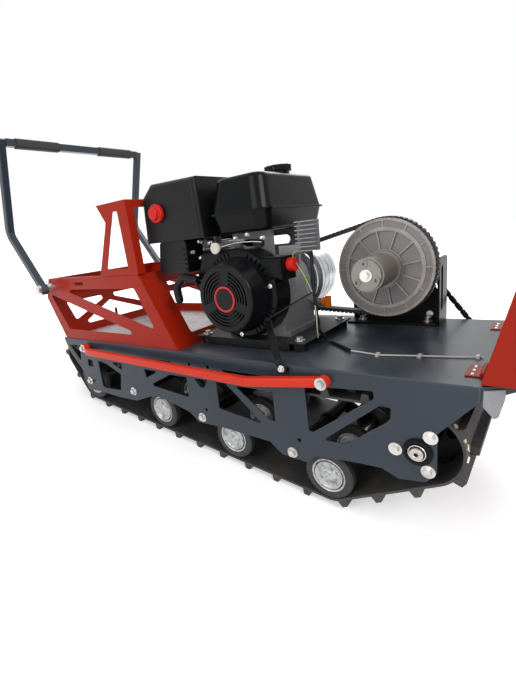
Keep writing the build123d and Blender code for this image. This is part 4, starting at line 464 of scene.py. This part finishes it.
BOLT_BRIGHT = tint(192, 192, 190)
MOUNT_BLACK = (tint(15, 16, 18), tint(28, 28, 30))
mounting = powder_coat("engine_mounts", *MOUNT_BLACK, 0.38, dust=0.12, coat=0.05, shine=0.25)
for x in (704, 1045):
    for y in (-148, 104):
        mounting.repaint(mounting.near(on_deck(x, y, 44), 0.0226), BOLT_BRIGHT, 0.28, 0.9)

BRACKET_BLACK = (tint(12, 13, 15), tint(22, 23, 25))
bracket = powder_coat("shaft_bracket", *BRACKET_BLACK, 0.34, dust=0.08, coat=0.0, shine=0.12)
for x in (1086, 1289):
    bracket.repaint(bracket.near(on_deck(x, 193, 24), 0.0232), BOLT_BRIGHT, 0.28, 0.9)

lamp_low, lamp_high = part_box("headlight")
lamp_centre = (lamp_low + lamp_high) / 2
lens_centre = lamp_centre + DECK_TURN @ Vector((0, 0, -0.012))
lamp = moulded("headlight", tint(26, 27, 29), tint(48, 48, 50), 0.42, 900, 0.0002)
lamp.repaint(lamp.near(lens_centre, 0.0508), tint(206, 212, 218), 0.08, 0.55)
print("two-tone finishes ready")

# %% [markdown]
# Every solid carries the name of its finish in the record. One table joins those names to the
# materials made above, and a second one holds the solids that have a finish of their own.

# %% Dress the solids
FINISHES = {
    "slate_paint": slate,
    "red_paint": red,
    "bar_red": bar_red,
    "track_rubber": track_rubber,
    "belt_rubber": belt_rubber,
    "zinc": zinc,
    "yellow_zinc": yellow_zinc,
    "black_steel": black_steel,
    "engine_black": engine_black,
    "cast_alloy": cast_alloy,
    "black_plastic": black_plastic,
    "red_plastic": red_plastic,
    "chain_steel": chain_steel,
    "floor_sheet": floor_sheet,
}
PULLEY_BRIGHT = (tint(186, 188, 190), tint(200, 202, 203), tint(150, 149, 147))
idler_low, idler_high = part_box("idler")
OWN_FINISHES = {
    "road_rollers": tyre_on_hub("road_rollers", roller_axles, 0.0465),
    "idler": tyre_on_hub("idler", [(idler_low + idler_high) / 2], 0.059),
    "driver_pulley": turned("driver_pulley", CRANK, *PULLEY_BRIGHT, 0.22),
    "driven_pulley": cast_wheel,
    "recoil_cover": recoil,
    "carburettor": carburettor,
    "engine_knobs": knobs,
    "wiring": loom,
    "engine_mounts": mounting,
    "shaft_bracket": bracket,
    "headlight": lamp,
    "nose_tabs": cast("nose_tabs", tint(122, 126, 130), tint(92, 94, 97), shine=0.2),
    "sprockets": black_plastic,
    "drive_axle": black_steel,
    "drive_chain": black_steel,
}
slot_of = {row["node"]: row["material_slot"] for row in frame["record"]["subparts"]}
for name, solid in nodes.items():
    finish = OWN_FINISHES.get(name) or FINISHES[slot_of[name]]
    for slot in solid.material_slots:
        slot.material = finish.material
print("dressed", len(nodes), "solids")

# %% [markdown]
# The smallest hardware is left out of the solids: rivets, screws, washers and the covers of the
# roller hubs. Each is drawn once by spinning an outline about its own Z, as on a lathe, and a
# matrix carries a copy to every place. A low number of steps turns a round outline into a hexagon.

# %% Shapes spun from an outline
def deck_way(x, y, z):
    """A direction given along, across and above the deck, in the parked frame."""
    return DECK_TURN.to_3x3() @ Vector((x, y, z))


def aimed(spot, way):
    """The matrix that carries a shape to a spot with its own Z along a direction."""
    return Matrix.Translation(spot) @ way.to_track_quat("Z", "Y").to_matrix().to_4x4()


def spun(outline, steps=32):
    """A closed shape from (radius, height) pairs in millimetres, spun about its own Z."""
    shape = bmesh.new()
    knots = [shape.verts.new((radius / 1000, 0, height / 1000)) for radius, height in outline]
    edges = [shape.edges.new(pair) for pair in zip(knots, knots[1:])]
    bmesh.ops.spin(shape, geom=knots + edges, cent=(0, 0, 0), axis=(0, 0, 1), angle=math.tau, steps=steps)
    bmesh.ops.remove_doubles(shape, verts=shape.verts, dist=1e-6)
    bmesh.ops.recalc_face_normals(shape, faces=shape.faces)
    return shape


def fasten(name, shapes, places, finish, body="chassis"):
    """One piece made of a copy of the shapes at every place, riding on a body."""
    whole = bmesh.new()
    for shape in shapes:
        for place in places:
            copy = bpy.data.meshes.new("copy")
            shape.to_mesh(copy)
            copy.transform(place)
            whole.from_mesh(copy)
            bpy.data.meshes.remove(copy)
    mesh = bpy.data.meshes.new(name)
    whole.to_mesh(mesh)
    mesh.shade_smooth()
    mesh.set_sharp_from_angle(angle=math.radians(32))
    mesh.materials.append(finish.material)
    made = bpy.data.objects.new(name, mesh)
    bpy.context.scene.collection.objects.link(made)
    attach(made, body)
    print(name, len(places), "places,", len(mesh.polygons), "faces")


UP = deck_way(0, 0, 1)
RIGHT = Vector((0, -1, 0))
LEFT = Vector((0, 1, 0))
SIDES = ((-1, RIGHT), (1, LEFT))

# %% [markdown]
# Rivets hold the hinge leaves to the deck, and painted ones join the basket's walls along their
# slanted edges. A rivet head is a shallow dome, and a few points of its outline are enough.

# %% Rivets
rivet = spun(((0, 0), (5.2, 0), (4.6, 0.9), (2.6, 1.9), (0, 2.3)), 20)
leaf_rivets = [aimed(on_deck(1471, y + step, 3), UP) for y in (-180, 180) for step in (-22, 0, 22)]
fasten("hinge_rivets", [rivet], leaf_rivets, pale_zinc)


def row(first, last, count):
    """Evenly spaced (x, z) places from one to another."""
    shares = [i / (count - 1) for i in range(count)]
    return [(first[0] + (last[0] - first[0]) * t, first[1] + (last[1] - first[1]) * t) for t in shares]


rear_seam = row((-46, 150), (16, 18), 4)
upper_seam = row((-6, 226), (-52, 172), 2)
front_seam = row((662, 14), (560, 208), 4)
seams = rear_seam + upper_seam + front_seam
wall_rivets = [aimed(on_deck(x, side * 258, z), way) for side, way in SIDES for x, z in seams]
fasten("basket_rivets", [rivet], wall_rivets, red)

# %% [markdown]
# The portal stands on the basket's flange with small hexagon bolts, and the recoil cover is held
# by three screws with a cross recess. The recess is a pit in the outline, seen as a dark dot.

# %% Screws and bolts
washer = spun(((0, 0), (7.5, 0), (7.5, 1.2), (0, 1.2)), 28)
small_head = spun(((0, 1), (5.6, 1), (5.6, 4.4), (4.9, 5.4), (2.2, 5.4), (1.6, 4.6), (0, 4.6)), 6)
pan_head = spun(((0, 0), (7, 0), (7, 2.6), (5.6, 4.2), (2.2, 4.6), (1.7, 2.8), (0, 2.8)), 24)
feet = [aimed(on_deck(x, side * 253, 241), UP) for side in (-1, 1) for x in (378, 455, 532)]
fasten("portal_bolts", [washer, small_head], feet, zinc)

socket_cap = spun(((0, 0), (9, 0), (9, 1.4), (7, 1.6), (7, 6), (6, 7), (3.4, 7), (3.4, 4), (0, 4)), 28)
fasten("strut_bolt", [socket_cap], [aimed(on_deck(1063, -275, -8), RIGHT)], zinc)

SCREW_CIRCLE = 112
recoil_screws = []
for angle in (12, 148, 268):
    turn = math.radians(angle)
    spot = on_deck(886 + SCREW_CIRCLE * math.cos(turn), -190, 159 + SCREW_CIRCLE * math.sin(turn))
    recoil_screws.append(aimed(spot, RIGHT))
fasten("recoil_screws", [pan_head], recoil_screws, zinc)

# %% [markdown]
# Outside the side plates the drive axle ends in a bearing: a bright ring pressed round it and a
# turned washer with a socket screw. The rollers' hubs are bright die castings with a boss in the
# middle and small bosses in a ring. Dust sits in the steps, so the casting gets its own finish.

# %% Axle ends and roller hubs
hub_cast = Finish("hub_cast", Metallic=0.55)
hub_grime = hub_cast.noise(60, 6, 0.7).ramp(0.46, 0.72)
hub_cast.feed(
    Base_Color=hub_cast.mix(hub_grime, tint(184, 186, 186), tint(104, 102, 99)),
    Roughness=0.34 + hub_grime * 0.25,
)
hub_cast.relief(hub_cast.noise(420, 3), 0.0003, 0.5)
washer_steel = plated("washer_steel", tint(158, 150, 138), tint(118, 110, 100), 300)

ring = spun(((16.4, -1), (19, -1), (19, 1.2), (18.4, 2), (17, 2), (16.4, 1.2), (16.4, -1)), 48)
end_washer = spun(
    (
        (0, -6), (14.4, -6), (14.4, 1), (13.2, 2.2), (6.4, 2.2), (5.6, 1.2), (4.6, 1.2),
        (4.6, -2), (0, -2),
    ),
    40,
)
DRIVE_X, DRIVE_Z = 1382, -162
ring_seats = [aimed(on_deck(DRIVE_X, side * 269.5, DRIVE_Z), way) for side, way in SIDES]
washer_seats = [aimed(on_deck(DRIVE_X, side * 276.5, DRIVE_Z), way) for side, way in SIDES]
fasten("bearing_rings", [ring], ring_seats, zinc)
fasten("axle_washers", [end_washer], washer_seats, washer_steel)

hub_cover = spun(
    (
        (0, 0), (0, 8.5), (12, 8.5), (14, 6.5), (20, 5.2), (21.5, 3), (26, 2.4), (27.5, 4.2),
        (33, 4.2), (35.5, 6.6), (38.2, 6.6), (38.4, 0), (0, 0),
    ),
    48,
)
boss = spun(((0, 2), (2.6, 2), (2.6, 5), (1.8, 5.8), (0, 5.8)), 12)
HUB_SEAT = 0.2432
BOSS_CIRCLE = 0.0302
BOSS_COUNT = 8
hubs = []
bosses = []
for axle in roller_axles:
    for side, way in SIDES:
        seat = Vector((axle.x, side * HUB_SEAT, axle.z))
        hubs.append(aimed(seat, way))
        for i in range(BOSS_COUNT):
            turn = math.tau * i / BOSS_COUNT
            around = Vector((math.cos(turn), 0, math.sin(turn))) * BOSS_CIRCLE
            bosses.append(aimed(seat + around, way))
fasten("roller_hubs", [hub_cover], hubs, hub_cast)
fasten("roller_bosses", [boss], bosses, hub_cast)

# %% [markdown]
# Beside the cylinder sit the carburettor's plated fittings and its governor: a thin link to the
# pale knob and a light return spring. The spring is a true helix given to a curve with a round
# bevel, which is the shortest way to a coil that reads as one from every side.

# %% Carburettor fittings and governor
def wire(name, points, radius, finish, body="chassis"):
    """A round wire or rod along points in deck millimetres, as a curve with a bevel."""
    run = bpy.data.curves.new(name, "CURVE")
    run.dimensions = "3D"
    run.bevel_depth = radius / 1000
    run.bevel_resolution = 3
    run.use_fill_caps = True
    line = run.splines.new("NURBS")
    line.points.add(len(points) - 1)
    for knot, place in zip(line.points, points):
        knot.co = (*on_deck(*place), 1)
    line.order_u = 3
    line.use_endpoint_u = True
    line.resolution_u = 6
    run.materials.append(finish.material)
    made = bpy.data.objects.new(name, run)
    bpy.context.scene.collection.objects.link(made)
    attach(made, body)


fitting = spun(((0, 0), (6.5, 0), (6.5, 5), (5, 6), (5, 11), (3.6, 12.5), (1.6, 12.5), (1.6, 10), (0, 10)), 6)
FITTINGS = (
    (738, -186, 337), (710, -186, 311), (770, -186, 314), (809, -186, 307), (756, -176, 268),
    (726, -178, 286), (890, -172, 312), (930, -170, 318), (968, -158, 306),
)
fitting_seats = [aimed(on_deck(*spot), RIGHT) for spot in FITTINGS]
fasten("carburettor_fittings", [fitting], fitting_seats, zinc)
wire("governor_link", ((838, -196, 291), (880, -186, 300), (940, -176, 300), (966, -166, 295)), 1.2, zinc)
COIL_TURNS = 12
COIL_STEPS = 8
COIL_RADIUS = 4.2
COIL_ADVANCE = 0.52
coil = []
for i in range(COIL_TURNS * COIL_STEPS + 1):
    turn = math.tau * i / COIL_STEPS
    across, up = COIL_RADIUS * math.cos(turn), COIL_RADIUS * math.sin(turn)
    coil.append((862 + i * COIL_ADVANCE, -170 + across, 306 + up))
wire("governor_spring", coil, 0.7, zinc)

# %% [markdown]
# The engine's harness leaves the rectifier as a black loom with a few coloured leads beside it.
# The blue and the yellow one start at the rectifier's foot, and the others beside the loom. They are
# short and thin enough to be plain curves.

# %% Coloured leads
LEADS = (
    # name, colour, places along it
    (
        "lead_blue", tint(38, 78, 160),
        ((1056, -133, 268), (1050, -140, 249), (1062, -142, 214), (1082, -134, 180), (1087, -129, 150)),
    ),
    (
        "lead_yellow", tint(206, 186, 60),
        ((1064, -133, 268), (1042, -150, 262), (1052, -146, 236), (1074, -140, 196), (1086, -131, 152)),
    ),
    (
        "lead_green", tint(70, 150, 84),
        ((1084, -131, 200), (1072, -138, 184), (1074, -138, 160), (1086, -131, 140)),
    ),
    (
        "lead_pale", tint(214, 206, 176),
        ((1089, -130, 120), (1096, -137, 96), (1094, -137, 60), (1087, -122, 30)),
    ),
)
for name, colour, places in LEADS:
    jacket = moulded(name, colour, tint(90, 88, 84), 0.4, 900, 0.00005)
    wire(name, places, 1.1, jacket)
stop_lead = moulded("lead_black", tint(24, 24, 26), tint(52, 52, 54), 0.45, 900, 0.0001)
wire("lead_black", ((1088, -130, 156), (1064, -176, 142), (1026, -197, 118), (990, -200, 100)), 2.2, stop_lead)

# %% [markdown]
# Yellow-passivated steel clips line the rubber belt where the drive wheels' teeth run. Round the
# nose they show through the gap between the side plate and the track.

# %% Track clips
clip = spun(((0, -2), (9, -2), (9, 1.2), (8, 2.4), (0, 2.4)), 4)
CLIP_CIRCLE = 91
CLIP_ROWS = (
    # distance from the middle, angles round the drive axle, lean of each clip of a pair
    (80, (33, 95), (0,)),
    (230, (-68, 0, 67), (-9, 9)),
    (240, (33,), (-9, 9)),
)
clip_places = []
for stand_off, angles, leans in CLIP_ROWS:
    for y in (stand_off, -stand_off):
        for angle in angles:
            for lean in leans:
                turn = math.radians(angle + lean)
                ahead_of, above = math.cos(turn), math.sin(turn)
                spot = on_deck(DRIVE_X + CLIP_CIRCLE * ahead_of, y, DRIVE_Z + CLIP_CIRCLE * above)
                clip_places.append(aimed(spot, deck_way(ahead_of, 0, above)))
fasten("track_clips", [clip], clip_places, yellow_zinc)

# %% [markdown]
# The studio is white from edge to edge. Lamps strong enough to burn a floor out to white would burn
# out the paint as well, so the floor glows a little for the camera and for reflections only: enough
# to reach white where it is lit, while the shadow under the tug still falls below it. Further out
# the glow grows to a full white, which meets the world's white at the horizon without a line.

# %% Floor
FLOOR_HALF = 14
floor_mesh = bpy.data.meshes.new("studio_floor")
floor_corners = [(x * FLOOR_HALF, y * FLOOR_HALF, 0) for x, y in ((-1, -1), (1, -1), (1, 1), (-1, 1))]
floor_mesh.from_pydata(floor_corners, [], [(0, 1, 2, 3)])
floor = bpy.data.objects.new("studio_floor", floor_mesh)
bpy.context.scene.collection.objects.link(floor)

pale = Finish("studio_pale", Emission_Strength=1.0)
far_out = pale.node("ShaderNodeVectorMath", {"operation": "LENGTH"}, {0: pale.place}, "Value").ramp(1.2, 3.2)
SEEING_RAYS = ("Is Camera Ray", "Is Glossy Ray", "Is Transmission Ray")
rays = [pale.node("ShaderNodeLightPath", output=kind) for kind in SEEING_RAYS]
seen = rays[0] + rays[1] + rays[2]
glow = pale.mix(far_out, tint(168, 168, 168), tint(255, 255, 255))
pale.feed(
    Base_Color=tint(232, 232, 231),
    Roughness=0.6 + pale.noise(2, 3) * 0.1,
    Emission_Color=pale.mix(seen, tint(0, 0, 0), glow),
)
floor_mesh.materials.append(pale.material)

# %% [markdown]
# Three large soft lamps give the plain light of a picture shot in front of a white screen. The key
# stands ahead of the tug, because the faces that look forward are the lighter ones there. The world
# gives an even fill, and shows as white where the camera or a reflection looks past the floor.

# %% Lamps and world
LAMPS = (
    # name, place, size, watts
    ("key_lamp", (3.4, -1.2, 3.2), 2.4, 120),
    ("side_lamp", (-0.6, -3.6, 2.2), 2.6, 52),
    ("rim_lamp", (-0.8, 3.0, 3.0), 2.4, 60),
)
for name, place, size, watts in LAMPS:
    lamp = bpy.data.lights.new(name, "AREA")
    lamp.shape = "DISK"
    lamp.size = size
    lamp.energy = watts
    holder = bpy.data.objects.new(name, lamp)
    holder.location = place
    holder.rotation_euler = (Vector((0, 0, 0.4)) - Vector(place)).to_track_quat("-Z", "Y").to_euler()
    bpy.context.scene.collection.objects.link(holder)

world = bpy.data.worlds.new("studio_world")
bpy.context.scene.world = world
world.use_nodes = True
sky = world.node_tree
path = sky.nodes.new("ShaderNodeLightPath")
looks = []
for kind in ("Is Glossy Ray", "Is Transmission Ray"):
    total = sky.nodes.new("ShaderNodeMath")
    sky.links.new(looks[-1] if looks else path.outputs["Is Camera Ray"], total.inputs[0])
    sky.links.new(path.outputs[kind], total.inputs[1])
    looks.append(total.outputs[0])
tone = sky.nodes.new("ShaderNodeMix")
tone.data_type = "RGBA"
sky.links.new(looks[-1], tone.inputs["Factor"])
tone.inputs[6].default_value = (0.50, 0.51, 0.53, 1)
tone.inputs[7].default_value = (1, 1, 1, 1)
sky.links.new(tone.outputs[2], sky.nodes["Background"].inputs["Color"])
bpy.context.scene.view_settings.view_transform = "Standard"
